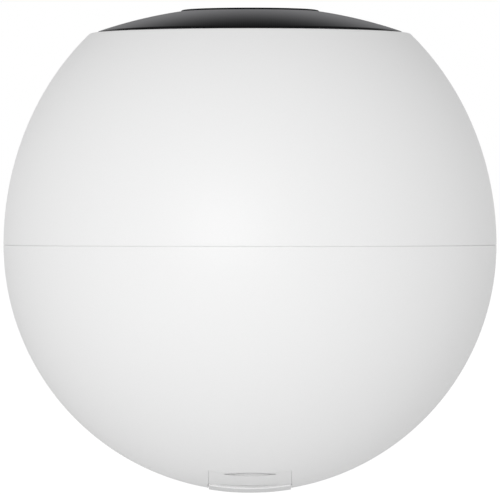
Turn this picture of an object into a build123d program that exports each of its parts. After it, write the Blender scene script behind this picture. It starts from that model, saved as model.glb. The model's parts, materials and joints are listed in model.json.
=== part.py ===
"""Ball-shaped smart speaker, built as separate pieces.

Every piece is modelled about the centre of the ball (the seam lies in z = 0) and is lifted by
EQUATOR_Z when it is written, so that the foot rests on z = 0. +Z is up and -Y is the front.
Lengths are in millimetres and angles in degrees.
"""
import os
from math import cos, pi, radians, sin, sqrt

from build123d import *

# ---------------------------------------------------------------- shells
BALL_R = 50.0          # lower half is a true hemisphere
UPPER_H = 56.35        # upper half is an ellipsoid, this tall above the seam if it ran to a point
WALL = 2.2
SEAM_GAP = 0.08        # reveal between the two shells
MOUTH_R = 31.3
RIM_LAND = 1.14        # flat rim around the mouth
RIM_ROUND = 0.9
LEDGE_W = 4.1          # ledge inside the mouth, which carries the grille
LEDGE_T = 1.5
LIP_T = 1.2            # tongue of the upper shell inside the lower one
LIP_DEPTH = 3.0
LIP_FIT = 0.15
SEAL_T = 0.6
SEAL_LEDGE_T = 1.6
SEAL_LEDGE_W = 2.4
FLOOR_T = 6.5          # from the flat floor inside the lower shell down to the pole

# ---------------------------------------------------------------- grille dome and button
DOME_R = 95.0          # radius of the dome's outer face
DOME_PROUD = 0.3       # edge of the dome above the rim
MOUTH_FIT = 0.3        # grille in the mouth
CLOTH_T = 0.5
CLOTH_WRAP = 1.6
FRAME_T = 1.4
SKIRT_T = 1.4
BUTTON_R = 14.0
BUTTON_PROUD = 0.32    # above the dome at the button's edge
BUTTON_T = 1.4
BUTTON_ROUND = 0.3
BUTTON_FIT = 0.35
BUTTON_TRAVEL = 0.5
GUIDE_INSET = 2.2      # from the edge of the button
NUB_H = 1.06
GUIDE_T = 1.1
GUIDE_FIT = 0.3
MIC_PORT_R = 0.4
MIC_INSET = 5.7        # from the edge of the top board
HUB_LAP = 2.2          # hub beyond the button
HUB_T = 1.6
HUB_FLOOR_T = 1.2
HUB_POST_H = 0.6
SPOKE_W = 3.0
SLOT_W = 2.0           # sound slots of the frame
SLOT_L = 5.2
SLOT_ROW_GAP = 0.8
SLOT_RIB_W = 3.2
TOP_BOARD_T = 1.2
TOP_BOARD_FIT = 0.4
TOP_SCREW_INSET = 3.6
LIGHT_RING_T = 1.4
LED_SIZE = 1.6
LED_T = 0.7
LED_COUNT = 8
SWITCH_SIZE = 5.2
SWITCH_T = 1.6
PLUNGER_R = 1.3
PLUNGER_FIT = 0.06
PLUNGER_PROUD = 0.6
PLUNGER_DEPTH = 0.8
MIC_SIZE = (2.8, 1.9, 0.9)

# ---------------------------------------------------------------- loudspeaker
BAFFLE_T = 2.5
BAFFLE_LAP = 1.1       # baffle beyond the mouth
GRILLE_SCREW_INSET = 2.2
DRIVER_INSET = 5.9     # from the mouth
CUTOUT_INSET = 2.2
GASKET_T = 0.6
SURROUND_T = 0.4
FLANGE_T = 1.2
FLANGE_W = 2.5
BASKET_T = 1.2
BASKET_H = 10.8        # from the flange down to the basket's floor
BASKET_FLOOR_R = 15.5
SPIDER_H = 2.6         # above the basket's floor
SPIDER_R = 13.6
SPIDER_T = 0.35
SPIDER_WAVE = 0.5
ROLL_W = 4.0           # width of the surround's roll
CONE_LIP = 0.8
CONE_T = 0.6
CONE_NECK_H = 5.2      # above the basket's floor
COIL_R = 7.55
FORMER_T = 0.25
WINDING_T = 0.25
WINDING_H = 3.6
COIL_DROP = 4.2        # below the basket's floor
GAP_FIT = 0.35         # air each side of the coil
PLATE_T = 3.0
PLATE_R = 13.5
MAGNET_R = 16.5
MAGNET_HOLE_R = 9.2
MAGNET_T = 7.0
YOKE_T = 2.8
POLE_VENT_R = 2.0
DUST_CAP_R = 8.6
DUST_CAP_H = 2.4
DUST_CAP_T = 0.4
CHAMBER_FIT = 0.4      # around the driver
CHAMBER_T = 1.4
CHAMBER_CLEAR = 1.2    # below the magnet
CHAMBER_FLANGE_T = 2.0
CHAMBER_STEP = 0.9
DAMPING_T = 3.2
WIRE_R = 0.6
WIRE_AT_X = 1.3
WIRE_OUT_H = 6.0       # above the chamber's floor
GROMMET_R = 2.6
GROMMET_PROUD = 0.5
GROMMET_FLANGE = 0.8

# ---------------------------------------------------------------- chassis and boards
CHASSIS_FIT = 2.8      # inside the lower shell
CHASSIS_TOP = -0.5
CHASSIS_T = 2.0
CHASSIS_HOLE_R = 12.0
BOSS_INSET = 7.8       # from the inside of the wall
BOSS_R = 3.2
STANDOFF_INSET = 5.0   # from the edge of the board
STANDOFF_R = 2.6
STANDOFF_H = 5.5
BOARD_INSET = 9.0      # from the edge of the chassis
BOARD_T = 1.6
BOARD_TAB_W = 12.0
BOARD_TAB_INSET = 1.8  # from the face of the inlet
INLET_W = 7.0
INLET_L = 12.0
INLET_H = 6.0
INLET_FIT = 0.25       # corners of the inlet to the wall
INLET_BORE_R = 2.1
INLET_BORE_L = 9.0
INLET_PIN_R = 0.8
INLET_HOLE_R = 4.2
RIBBON_W = 6.0
RIBBON_T = 0.3
RIBBON_OUT = 1.2       # outside the chamber
RIBBON_FIT = 0.5
SERVICE_CABLE_INSET = 0.6
WIRE_START_OUT = 1.9   # outside the magnet
WIRE_DOWN_OUT = 3.4    # outside the chamber
CONNECTOR_T = 2.4
SHIELD_H = 2.2
PAD_T = 1.0
SPREADER_T = 1.5

# ---------------------------------------------------------------- ballast, foot and port cover
BALLAST_T = 8.0
BALLAST_R = 19.6
BALLAST_TOP_R = 26.0
NOTCH_W = 17.6
NOTCH_FIT = 1.45       # behind the service board
POST_AT_R = 18.0
POST_R = 3.0
POST_FIT = 0.8
FOOT_SCREW_AT_R = 5.5
FOOT_PROUD = 0.3
FOOT_DEPTH = 0.8
FOOT_FIT = 0.15
FOOT_FLAT_R = 4.5
FOOT_REAR_Y = 9.0
FOOT_ROUND = 3.5
TAB_W = 16.6           # port cover and foot share this width
TAB_FIT = 0.08         # beside the cover
COVER_TOP_GAP_DEG = 0.12
COVER_PROUD = 0.12     # at its hinge
COVER_FIT = 0.3        # behind the cover and around its nose
COVER_TOP_DEG = 65.6   # angles below the horizontal, seen from the side
COVER_PIVOT_DEG = 73.8
COVER_T = 1.6
PIVOT_DEPTH = 1.7
PIN_R = 0.5
PIN_FIT = 0.05
PIN_HALF = 9.3
NAIL_W = 10.6
NAIL_H = 0.75
NAIL_DEPTH = 1.8
NAIL_DROP_DEG = 0.25   # below the cover's top edge
SOCKET_W = 8.94
SOCKET_H = 3.26
SOCKET_WALL = 0.3
SOCKET_FIT = 0.2
SOCKET_CLEAR = 0.3     # behind the cover
SOCKET_L = 7.0
SERVICE_BOARD = (16.4, 8.5, 1.0)
SERVICE_SCREW_X = 6.6

# ---------------------------------------------------------------- fasteners
# each screw is its shank radius, head radius and head height
GRILLE_SCREW = (0.8, 1.7, 1.3)
GRILLE_SCREW_L = 8.4
TOP_SCREW = (0.6, 1.2, 0.8)
TOP_SCREW_L = 2.6
CHASSIS_SCREW = (1.25, 2.3, 1.6)
CHASSIS_SCREW_L = 8.0
BOARD_SCREW = (0.9, 1.8, 1.3)
BOARD_SCREW_L = 4.0
POST_SCREW = (1.25, 2.3, 1.8)
POST_SCREW_L = 11.0
POST_SCREW_DEPTH = 2.2
SERVICE_SCREW = (0.7, 1.6, 1.0)
SERVICE_SCREW_L = 4.0
FOOT_SCREW = (1.25, 2.2, 1.4)
FOOT_SCREW_L = 8.6
FOOT_SCREW_DEPTH = 3.5
HOLE_FIT = 0.15        # screw through a clearance hole

# ---------------------------------------------------------------- worked-out values
EQUATOR_Z = sqrt((BALL_R + FOOT_PROUD) ** 2 - FOOT_FLAT_R ** 2)
INNER_R = BALL_R - WALL
INNER_H = UPPER_H - WALL
FLOOR_Z = FLOOR_T - BALL_R
RIM_Z = UPPER_H * sqrt(1 - ((MOUTH_R + RIM_LAND) / BALL_R) ** 2)
LEDGE_R = MOUTH_R - LEDGE_W
LIP_OUT_R = INNER_R - LIP_FIT
LIP_IN_R = LIP_OUT_R - LIP_T
GRILLE_R = MOUTH_R - MOUTH_FIT
DOME_RIM_Z = RIM_Z + DOME_PROUD
DOME_CENTRE_Z = DOME_RIM_Z - sqrt(DOME_R ** 2 - GRILLE_R ** 2)
BUTTON_TOP = DOME_CENTRE_Z + sqrt(DOME_R ** 2 - BUTTON_R ** 2) + BUTTON_PROUD
FRAME_R = GRILLE_R - CLOTH_T
HUB_R = BUTTON_R + HUB_LAP
BUTTON_GUIDE_R = BUTTON_R - GUIDE_INSET
BUTTON_LOW = BUTTON_TOP - BUTTON_T
PLUNGER_TOP = BUTTON_LOW - NUB_H
TOP_BOARD_TOP = PLUNGER_TOP - PLUNGER_PROUD - SWITCH_T
TOP_BOARD_Z = TOP_BOARD_TOP - TOP_BOARD_T
HUB_FLOOR_Z = TOP_BOARD_Z - HUB_POST_H
LEDGE_TOP = HUB_FLOOR_Z - HUB_FLOOR_T
LEDGE_BOTTOM = LEDGE_TOP - LEDGE_T
TOP_BOARD_R = HUB_R - HUB_T - TOP_BOARD_FIT
TOP_SCREW_AT_R = TOP_BOARD_R - TOP_SCREW_INSET
MIC_AT_R = TOP_BOARD_R - MIC_INSET
BAFFLE_R = MOUTH_R + BAFFLE_LAP
BAFFLE_Z = LEDGE_BOTTOM - BAFFLE_T
GRILLE_SCREW_AT_R = MOUTH_R - GRILLE_SCREW_INSET
DRIVER_R = MOUTH_R - DRIVER_INSET
CUTOUT_R = DRIVER_R - CUTOUT_INSET
FLANGE_IN_R = DRIVER_R - FLANGE_W
CONE_R = FLANGE_IN_R - ROLL_W
CHAMBER_R = DRIVER_R + CHAMBER_FIT
SURROUND_Z = BAFFLE_Z - GASKET_T - SURROUND_T
FLANGE_Z = SURROUND_Z - FLANGE_T
BASKET_FLOOR_Z = FLANGE_Z - BASKET_H
SPIDER_Z = BASKET_FLOOR_Z + SPIDER_H
CONE_NECK_Z = BASKET_FLOOR_Z + CONE_NECK_H
COIL_BOTTOM_Z = BASKET_FLOOR_Z - COIL_DROP
PLATE_Z = BASKET_FLOOR_Z - PLATE_T
MAGNET_Z = PLATE_Z - MAGNET_T
YOKE_Z = MAGNET_Z - YOKE_T
POLE_R = COIL_R - GAP_FIT
FORMER_OUT_R = COIL_R + FORMER_T
WINDING_OUT_R = FORMER_OUT_R + WINDING_T
CHAMBER_OUT_R = CHAMBER_R + CHAMBER_T
CHAMBER_FLOOR_Z = YOKE_Z - CHAMBER_CLEAR
WIRE_OUT_Z = CHAMBER_FLOOR_Z + WIRE_OUT_H
WIRE_START_Y = -MAGNET_R - WIRE_START_OUT
WIRE_DOWN_Y = -CHAMBER_OUT_R - WIRE_DOWN_OUT
RIBBON_Y = CHAMBER_OUT_R + RIBBON_OUT
CHASSIS_R = INNER_R - CHASSIS_FIT
BOSS_AT_R = INNER_R - BOSS_INSET
BOARD_R = CHASSIS_R - BOARD_INSET
STANDOFF_AT_R = BOARD_R - STANDOFF_INSET
CHASSIS_Z = CHASSIS_TOP - CHASSIS_T
BOARD_TOP = CHASSIS_Z - STANDOFF_H
BOARD_Z = BOARD_TOP - BOARD_T
INLET_Z = BOARD_Z - INLET_H / 2
INLET_CORNER = sqrt((BOARD_Z - INLET_H) ** 2 + (INLET_W / 2) ** 2)
INLET_FACE_Y = sqrt(INNER_R ** 2 - INLET_CORNER ** 2) - INLET_FIT
BOARD_TAB_Y = INLET_FACE_Y - BOARD_TAB_INSET
BALLAST_TOP = FLOOR_Z + BALLAST_T
PIVOT_R = BALL_R - PIVOT_DEPTH
PIVOT_Y = -PIVOT_R * cos(radians(COVER_PIVOT_DEG))
PIVOT_Z = -PIVOT_R * sin(radians(COVER_PIVOT_DEG))
NOSE_R = BALL_R + COVER_PROUD - PIVOT_R
NOSE_REAR_Y = PIVOT_Y + NOSE_R + COVER_FIT
COVER_IN_R = BALL_R + COVER_PROUD - COVER_T
NAIL_DEG = COVER_TOP_DEG + NAIL_DROP_DEG
SOCKET_Y = -BALL_R * cos(radians((COVER_TOP_DEG + COVER_PIVOT_DEG) / 2))
SOCKET_MOUTH_Z = SOCKET_CLEAR - sqrt(COVER_IN_R ** 2 - (SOCKET_H / 2 - SOCKET_Y) ** 2)
SERVICE_Z = SOCKET_MOUTH_Z + SOCKET_L
SERVICE_REAR_Y = SOCKET_Y + SERVICE_BOARD[1] / 2
SERVICE_CABLE_Y = SERVICE_REAR_Y - SERVICE_CABLE_INSET
NOTCH_Y = SERVICE_REAR_Y + NOTCH_FIT
FOOT_SCREW_SEAT = FLOOR_Z - FOOT_SCREW_DEPTH
POST_SEAT = FLOOR_Z + POST_SCREW_DEPTH
GRILLE_SCREW_SEAT = BAFFLE_Z - CHAMBER_FLANGE_T
PLATE_HOLE_R = WINDING_OUT_R + GAP_FIT
BIG = 4 * BALL_R       # longer than the ball in any direction
EPS = 0.02

UP = (Align.CENTER, Align.CENTER, Align.MIN)


# ---------------------------------------------------------------- helpers
def rod(radius, low, high, x=0.0, y=0.0):
    """Upright cylinder from z = low to z = high."""
    return Pos(x, y, low) * Cylinder(radius, high - low, align=UP)


def ring(inner, outer, low, high):
    """Upright tube."""
    return rod(outer, low, high) - rod(inner, low - EPS, high + EPS)


def block(size_x, size_y, low, high, x=0.0, y=0.0):
    """Box centred on (x, y) from z = low to z = high."""
    return Pos(x, y, low) * Box(size_x, size_y, high - low, align=UP)


def cross_rod(radius, length):
    """Cylinder along X, centred on the hinge line of the port cover."""
    return Pos(0, PIVOT_Y, PIVOT_Z) * Rot(0, 90, 0) * Cylinder(radius, length)


def polar(radius, count, start=0.0):
    """Evenly spaced (x, y) places on a circle."""
    angles = [radians(start + 360.0 * i / count) for i in range(count)]
    return [(radius * cos(a), radius * sin(a)) for a in angles]


def turned(points):
    """Solid of revolution about Z from (radius, height) points."""
    profile = make_face(Polyline(*points, close=True))
    return revolve(Plane.XZ * profile, axis=Axis.Z)


def group(shapes):
    """Several separate solids as one node."""
    return Compound(children=[solid for shape in shapes for solid in shape.solids()])


def fuse(shapes):
    """One solid from touching shapes."""
    total = shapes[0]
    for shape in shapes[1:]:
        total = total + shape
    return total


def screw(x, y, seat, length, shank_r, head_r, head_t, up=True):
    """Cap screw whose head sits on z = seat; up is the way that its shank points."""
    way = 1 if up else -1
    shank = rod(shank_r, min(seat, seat + way * length), max(seat, seat + way * length), x, y)
    outer = seat - way * head_t
    head = rod(head_r, min(seat, outer), max(seat, outer), x, y)
    depth = outer + way * head_t * 0.6
    socket_r = head_r * 0.5
    hexagon = Pos(x, y, min(outer, depth)) * extrude(RegularPolygon(socket_r, 6), abs(depth - outer))
    return shank + head - hexagon


def half_ellipsoid(radius, height, low, high):
    """Slice of an ellipsoid of revolution between two heights."""
    quarter = Ellipse(radius, height) & (Pos(radius, 0) * Rectangle(2 * radius, 2 * height))
    whole = revolve(Plane.XZ * quarter, axis=Axis.Z)
    return whole & rod(BIG, low, high)


def sight(degrees, radius):
    """Point in the x = 0 plane, at an angle below the horizontal towards the front."""
    return (0, -radius * cos(radians(degrees)), -radius * sin(radians(degrees)))


def wedge(from_deg, to_deg, width):
    """Slice of space between two rays from the ball's centre, seen from the side."""
    near = [sight(from_deg, BALL_R * 0.8)[1:], sight(from_deg, BALL_R * 1.2)[1:]]
    far = [sight(to_deg, BALL_R * 1.2)[1:], sight(to_deg, BALL_R * 0.8)[1:]]
    face = make_face(Polyline(*near, *far, close=True))
    return extrude(Plane.YZ * face, width / 2, both=True)


# ---------------------------------------------------------------- shells
def upper_shell():
    low = SEAM_GAP / 2
    shell = half_ellipsoid(BALL_R, UPPER_H, low, RIM_Z)
    shell = fillet(shell.edges().group_by(Axis.Z)[-1], RIM_ROUND)
    shell -= half_ellipsoid(INNER_R, INNER_H, low - EPS, LEDGE_BOTTOM)
    shell -= rod(LEDGE_R, low, RIM_Z + EPS)
    shell -= rod(MOUTH_R, LEDGE_TOP, RIM_Z + EPS)
    lip = ring(LIP_IN_R, LIP_OUT_R, -LIP_DEPTH, LIP_DEPTH)
    collar = ring(LIP_IN_R, INNER_R + WALL / 4, low, LIP_DEPTH)
    inside = half_ellipsoid(INNER_R + WALL / 4, INNER_H + WALL / 4, CHASSIS_TOP, LEDGE_TOP)
    posts = [rod(BOSS_R, CHASSIS_TOP, LEDGE_TOP, x, y) & inside for x, y in polar(BOSS_AT_R, 4, 45)]
    shell = fuse([shell, collar, lip] + posts)
    for x, y in polar(BOSS_AT_R, 4, 45):
        shell -= rod(CHASSIS_SCREW[0], CHASSIS_TOP - EPS, CHASSIS_TOP + CHASSIS_SCREW_L, x, y)
    for x, y in polar(GRILLE_SCREW_AT_R, 4, 45):
        shell -= rod(GRILLE_SCREW[0] + HOLE_FIT, LEDGE_BOTTOM - EPS, LEDGE_TOP + EPS, x, y)
    return shell - ribbon_gap(LEDGE_BOTTOM - EPS, LEDGE_TOP + EPS)


def lower_shell():
    top = -SEAM_GAP / 2
    shell = Sphere(BALL_R) & rod(BIG, -BIG, top)
    cavity = Sphere(INNER_R) & rod(BIG, FLOOR_Z, top + EPS)
    groove = rod(LIP_OUT_R + LIP_FIT, -LIP_DEPTH - SEAL_T, top + EPS)
    shell -= cavity + groove
    seal_ledge = ring(INNER_R - SEAL_LEDGE_W, INNER_R + WALL / 4,
                      -LIP_DEPTH - SEAL_T - SEAL_LEDGE_T, -LIP_DEPTH - SEAL_T)
    bosses = [rod(SERVICE_SCREW[1], FLOOR_Z - EPS, SERVICE_Z, x, SOCKET_Y) for x in service_places()]
    shell = fuse([shell, seal_ledge] + bosses)
    shell -= cover_recess() + foot_recess() + nail_notch()
    shell -= cross_rod(PIN_R, 2 * PIN_HALF)
    shell -= socket_outline(SOCKET_FIT, SOCKET_MOUTH_Z - WALL, FLOOR_Z + WALL)
    inlet_hole = Cylinder(INLET_HOLE_R, 2 * (BALL_R - INLET_FACE_Y))
    shell -= Pos(0, BALL_R, INLET_Z) * Rot(90, 0, 0) * inlet_hole
    for x in service_places():
        shell -= rod(SERVICE_SCREW[0], FLOOR_Z, SERVICE_Z + EPS, x, SOCKET_Y)
    for x, y in polar(FOOT_SCREW_AT_R, 3, 90):
        shell -= rod(FOOT_SCREW[0] + HOLE_FIT, -BALL_R, FLOOR_Z + EPS, x, y)
        shell -= rod(FOOT_SCREW[1] + HOLE_FIT, -BALL_R, FOOT_SCREW_SEAT, x, y)
    return shell


def seam_seal():
    return ring(LIP_IN_R, LIP_OUT_R, -LIP_DEPTH - SEAL_T, -LIP_DEPTH)


# ---------------------------------------------------------------- foot and port cover
def tab_area(front, rear, grow):
    """Upright prism with the outline of the foot."""
    length = rear - front + 2 * grow
    base = Pos(0, (front + rear) / 2) * Rectangle(TAB_W + 2 * grow, length)
    rounded = fillet(base.vertices().group_by(Axis.Y)[-1], FOOT_ROUND)
    return Pos(0, 0, -BIG / 4) * extrude(rounded, BIG / 4)


def foot_recess():
    return tab_area(NOSE_REAR_Y, FOOT_REAR_Y, FOOT_FIT) - Sphere(BALL_R - FOOT_DEPTH)


def foot_pad():
    skin = Sphere(BALL_R + FOOT_PROUD) - Sphere(BALL_R - FOOT_DEPTH)
    pad = skin & tab_area(NOSE_REAR_Y, FOOT_REAR_Y, 0.0)
    return pad & rod(BIG, -EQUATOR_Z, 0)


def cover_recess():
    width = TAB_W + 2 * TAB_FIT
    space = wedge(COVER_TOP_DEG - COVER_TOP_GAP_DEG, COVER_PIVOT_DEG, width)
    return space - Sphere(COVER_IN_R - COVER_FIT) + cross_rod(NOSE_R + COVER_FIT, width)


def nail_notch():
    """Level lens-shaped slot for a fingernail, across the top edge of the port cover."""
    bow_r = ((NAIL_W / 2) ** 2 + (NAIL_H / 2) ** 2) / NAIL_H
    shift = bow_r - NAIL_H / 2
    lens = (Pos(0, shift) * Circle(bow_r)) & (Pos(0, -shift) * Circle(bow_r))
    _, front_y, level = sight(NAIL_DEG, BALL_R)
    seat = Plane(origin=(0, front_y + NAIL_DEPTH, level), x_dir=(1, 0, 0), z_dir=(0, -1, 0))
    return seat * extrude(lens, NAIL_DEPTH * 3)


def port_cover():
    """Flush with the ball at its top edge and a little proud at its hinge."""
    rise = COVER_PROUD / sin(radians(COVER_PIVOT_DEG - COVER_TOP_DEG))
    tangent = (0, rise * sin(radians(COVER_TOP_DEG)), -rise * cos(radians(COVER_TOP_DEG)))
    outer = Pos(*tangent) * Sphere(BALL_R)
    plate = wedge(COVER_TOP_DEG, COVER_PIVOT_DEG, TAB_W) - Sphere(COVER_IN_R)
    nose = cross_rod(NOSE_R, TAB_W)
    body = (plate + nose) & outer
    return body - cross_rod(PIN_R + PIN_FIT, TAB_W + 1) - nail_notch()


def hinge_pin():
    return cross_rod(PIN_R, 2 * PIN_HALF)


# ---------------------------------------------------------------- service port
def service_places():
    return (-SERVICE_SCREW_X, SERVICE_SCREW_X)


def socket_outline(grow, low, high):
    outline = RectangleRounded(SOCKET_W + 2 * grow, SOCKET_H + 2 * grow, SOCKET_H / 2 + grow - EPS)
    return Pos(0, SOCKET_Y, low) * extrude(outline, high - low)


def service_socket():
    body = socket_outline(0.0, SOCKET_MOUTH_Z, SERVICE_Z)
    base_t = 1.2
    body -= socket_outline(-SOCKET_WALL, SOCKET_MOUTH_Z - EPS, SERVICE_Z - base_t)
    tongue = block(6.7, 0.7, SOCKET_MOUTH_Z + 1.0, SERVICE_Z - base_t + EPS, 0, SOCKET_Y)
    return body + tongue


def service_board():
    size_x, size_y, thick = SERVICE_BOARD
    board = block(size_x, size_y, SERVICE_Z, SERVICE_Z + thick, 0, SOCKET_Y)
    for x in service_places():
        board -= rod(SERVICE_SCREW[0] + HOLE_FIT, SERVICE_Z - EPS, SERVICE_Z + thick + EPS, x, SOCKET_Y)
    return board


def service_screws():
    seat = SERVICE_Z + SERVICE_BOARD[2]
    sizes = (SERVICE_SCREW_L, *SERVICE_SCREW)
    return group([screw(x, SOCKET_Y, seat, *sizes, up=False) for x in service_places()])


def service_cable():
    low = SERVICE_Z + SERVICE_BOARD[2]
    return block(RIBBON_W, RIBBON_T, low, BOARD_Z - CONNECTOR_T, 0, SERVICE_CABLE_Y)


# ---------------------------------------------------------------- grille, button and top board
def dome_slice(outer, inner, hole, edge):
    """Ring of a domed skin whose faces lie on two spheres about the dome's centre."""
    skin = Pos(0, 0, DOME_CENTRE_Z) * (Sphere(outer) - Sphere(inner))
    return skin & ring(hole, edge, 0, BIG / 2)


def grille_cloth():
    top = dome_slice(DOME_R, DOME_R - CLOTH_T, BUTTON_R + BUTTON_FIT, GRILLE_R)
    wrap = ring(FRAME_R, GRILLE_R, DOME_RIM_Z - CLOTH_WRAP, DOME_RIM_Z)
    return top + wrap


def slot_rows():
    """Radius and number of sound slots in each row that fits between the hub and the skirt."""
    room = FRAME_R - SKIRT_T - HUB_R
    rows = int(room / (SLOT_L + SLOT_ROW_GAP))
    radii = [HUB_R + (i + 0.5) * room / rows for i in range(rows)]
    return [(radius, int(2 * pi * radius / (SLOT_W + SLOT_RIB_W))) for radius in radii]


def grille_frame():
    inner = DOME_R - CLOTH_T - FRAME_T
    web = dome_slice(DOME_R - CLOTH_T, inner, BUTTON_R + BUTTON_FIT, FRAME_R)
    for radius, count in slot_rows():
        for angle in range(count):
            turn = Rot(0, 0, 360.0 * angle / count)
            web -= turn * Pos(radius, 0, LEDGE_TOP) * extrude(SlotOverall(SLOT_L, SLOT_W), BALL_R)
    under = Pos(0, 0, DOME_CENTRE_Z) * Sphere(DOME_R - CLOTH_T - FRAME_T / 2)
    skirt = ring(FRAME_R - SKIRT_T, FRAME_R, LEDGE_TOP, RIM_Z) & under
    bosses = [rod(SKIRT_T, LEDGE_TOP, RIM_Z, x, y) & under for x, y in polar(GRILLE_SCREW_AT_R, 4, 45)]
    hub_wall = ring(HUB_R - HUB_T, HUB_R, LEDGE_TOP, BUTTON_TOP) & under
    hub_floor = rod(HUB_R, LEDGE_TOP, HUB_FLOOR_Z)
    posts = [rod(2.0, HUB_FLOOR_Z - EPS, TOP_BOARD_Z, x, y) for x, y in polar(TOP_SCREW_AT_R, 3, 30)]
    reach = FRAME_R - SKIRT_T / 2
    spokes = [Rot(0, 0, 45 + 90 * i) * block(reach - HUB_R + 1, SPOKE_W, LEDGE_TOP, HUB_FLOOR_Z,
                                             (reach + HUB_R - 1) / 2) for i in range(4)]
    frame = fuse([web, skirt, hub_wall, hub_floor] + bosses + posts + spokes)
    for x, y in polar(GRILLE_SCREW_AT_R, 4, 45):
        frame -= rod(GRILLE_SCREW[0], LEDGE_TOP - EPS, GRILLE_SCREW_SEAT + GRILLE_SCREW_L, x, y)
    for x, y in polar(TOP_SCREW_AT_R, 3, 30):
        frame -= rod(TOP_SCREW[0], HUB_FLOOR_Z - 1.0, TOP_BOARD_Z + EPS, x, y)
    window = block(RIBBON_W + 2 * RIBBON_FIT, 2 * HUB_R, TOP_BOARD_Z - RIBBON_T - 0.2, TOP_BOARD_Z + 0.2,
                   0, HUB_R + 8.0)
    return frame - window


def action_button():
    low = BUTTON_LOW
    disc = rod(BUTTON_R, low, BUTTON_TOP)
    disc = fillet(disc.edges().group_by(Axis.Z)[-1], BUTTON_ROUND)
    guide = ring(BUTTON_GUIDE_R - GUIDE_T, BUTTON_GUIDE_R, low - 1.8, low)
    nub = rod(PLUNGER_R + 0.3, PLUNGER_TOP, low)
    button = disc + guide + nub
    for x, y in polar(MIC_AT_R, 4, 45):
        button -= rod(MIC_PORT_R, low - EPS, BUTTON_TOP + EPS, x, y)
    return button


def light_ring():
    high = DOME_CENTRE_Z + sqrt((DOME_R - CLOTH_T - FRAME_T) ** 2 - (HUB_R - HUB_T) ** 2)
    return ring(BUTTON_GUIDE_R + GUIDE_FIT, HUB_R - HUB_T - EPS, high - LIGHT_RING_T, high)


def top_board():
    board = rod(TOP_BOARD_R, TOP_BOARD_Z, TOP_BOARD_TOP)
    for x, y in polar(TOP_SCREW_AT_R, 3, 30):
        board -= rod(TOP_SCREW[0] + HOLE_FIT, TOP_BOARD_Z - EPS, TOP_BOARD_TOP + EPS, x, y)
    return board


def top_board_screws():
    places = polar(TOP_SCREW_AT_R, 3, 30)
    return group([screw(x, y, TOP_BOARD_TOP, TOP_SCREW_L, *TOP_SCREW, up=False) for x, y in places])


def tact_switch():
    body = block(SWITCH_SIZE, SWITCH_SIZE, TOP_BOARD_TOP, TOP_BOARD_TOP + SWITCH_T)
    well = PLUNGER_R + PLUNGER_FIT
    return body - rod(well, TOP_BOARD_TOP + SWITCH_T - PLUNGER_DEPTH - BUTTON_TRAVEL - 0.1, BUTTON_TOP)


def switch_plunger():
    return rod(PLUNGER_R, PLUNGER_TOP - PLUNGER_PROUD - PLUNGER_DEPTH, PLUNGER_TOP)


def status_leds():
    places = polar(TOP_BOARD_R - LED_SIZE / 2 - 0.6, LED_COUNT, 0)
    return group([block(LED_SIZE, LED_SIZE, TOP_BOARD_TOP, TOP_BOARD_TOP + LED_T, x, y) for x, y in places])


def microphones():
    size_x, size_y, thick = MIC_SIZE
    places = polar(MIC_AT_R, 4, 45)
    return group([block(size_x, size_y, TOP_BOARD_TOP, TOP_BOARD_TOP + thick, x, y) for x, y in places])


# ---------------------------------------------------------------- loudspeaker
def baffle():
    plate = ring(CUTOUT_R, BAFFLE_R, BAFFLE_Z, LEDGE_BOTTOM)
    for x, y in polar(GRILLE_SCREW_AT_R, 4, 45):
        plate -= rod(GRILLE_SCREW[0] + HOLE_FIT, BAFFLE_Z - EPS, LEDGE_BOTTOM + EPS, x, y)
    return plate - ribbon_gap(BAFFLE_Z - EPS, LEDGE_BOTTOM + EPS)


def driver_gasket():
    return ring(CUTOUT_R, DRIVER_R, BAFFLE_Z - GASKET_T, BAFFLE_Z)


def driver_surround():
    roll_r = (FLANGE_IN_R - CONE_R) / 2
    middle = (FLANGE_IN_R + CONE_R) / 2
    top = SURROUND_Z + SURROUND_T
    outer = Circle(roll_r + SURROUND_T / 2) - Circle(roll_r - SURROUND_T / 2)
    upper_half = outer & (Pos(0, 2 * roll_r) * Rectangle(4 * roll_r, 4 * roll_r))
    roll = revolve(Plane.XZ * (Pos(middle, SURROUND_Z + SURROUND_T / 2) * upper_half), axis=Axis.Z)
    inner_lip = ring(CONE_R - CONE_LIP, CONE_R + EPS, SURROUND_Z, top)
    outer_lip = ring(FLANGE_IN_R, DRIVER_R - 0.2, SURROUND_Z, top)
    return fuse([roll, inner_lip, outer_lip])


def driver_basket():
    flange = ring(FLANGE_IN_R, DRIVER_R, FLANGE_Z, SURROUND_Z)
    wall_low = BASKET_FLOOR_Z + BASKET_T
    wall = turned([(BASKET_FLOOR_R - BASKET_T, wall_low), (BASKET_FLOOR_R, wall_low),
                   (FLANGE_IN_R + 0.6, FLANGE_Z + EPS), (FLANGE_IN_R - 0.6, FLANGE_Z + EPS)])
    rim = ring(FLANGE_IN_R - 0.6, FLANGE_IN_R + 0.6, FLANGE_Z, SURROUND_Z)
    floor = ring(PLATE_HOLE_R, BASKET_FLOOR_R, BASKET_FLOOR_Z, wall_low)
    shelf = ring(SPIDER_R - 0.8, BASKET_FLOOR_R, wall_low - EPS, SPIDER_Z)
    basket = fuse([flange, wall, rim, floor, shelf])
    opening_low = SPIDER_Z + 1.2
    for i in range(4):
        turn = Rot(0, 0, 45 + 90 * i)
        basket -= turn * block(14.0, 15.0, opening_low, FLANGE_Z - 1.2, 21.0)
    return basket


def driver_cone():
    lip = CONE_R - CONE_LIP
    return turned([(FORMER_OUT_R, CONE_NECK_Z), (lip, SURROUND_Z - CONE_T), (CONE_R, SURROUND_Z - CONE_T),
                   (CONE_R, SURROUND_Z), (lip, SURROUND_Z), (FORMER_OUT_R, CONE_NECK_Z + CONE_T)])


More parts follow.
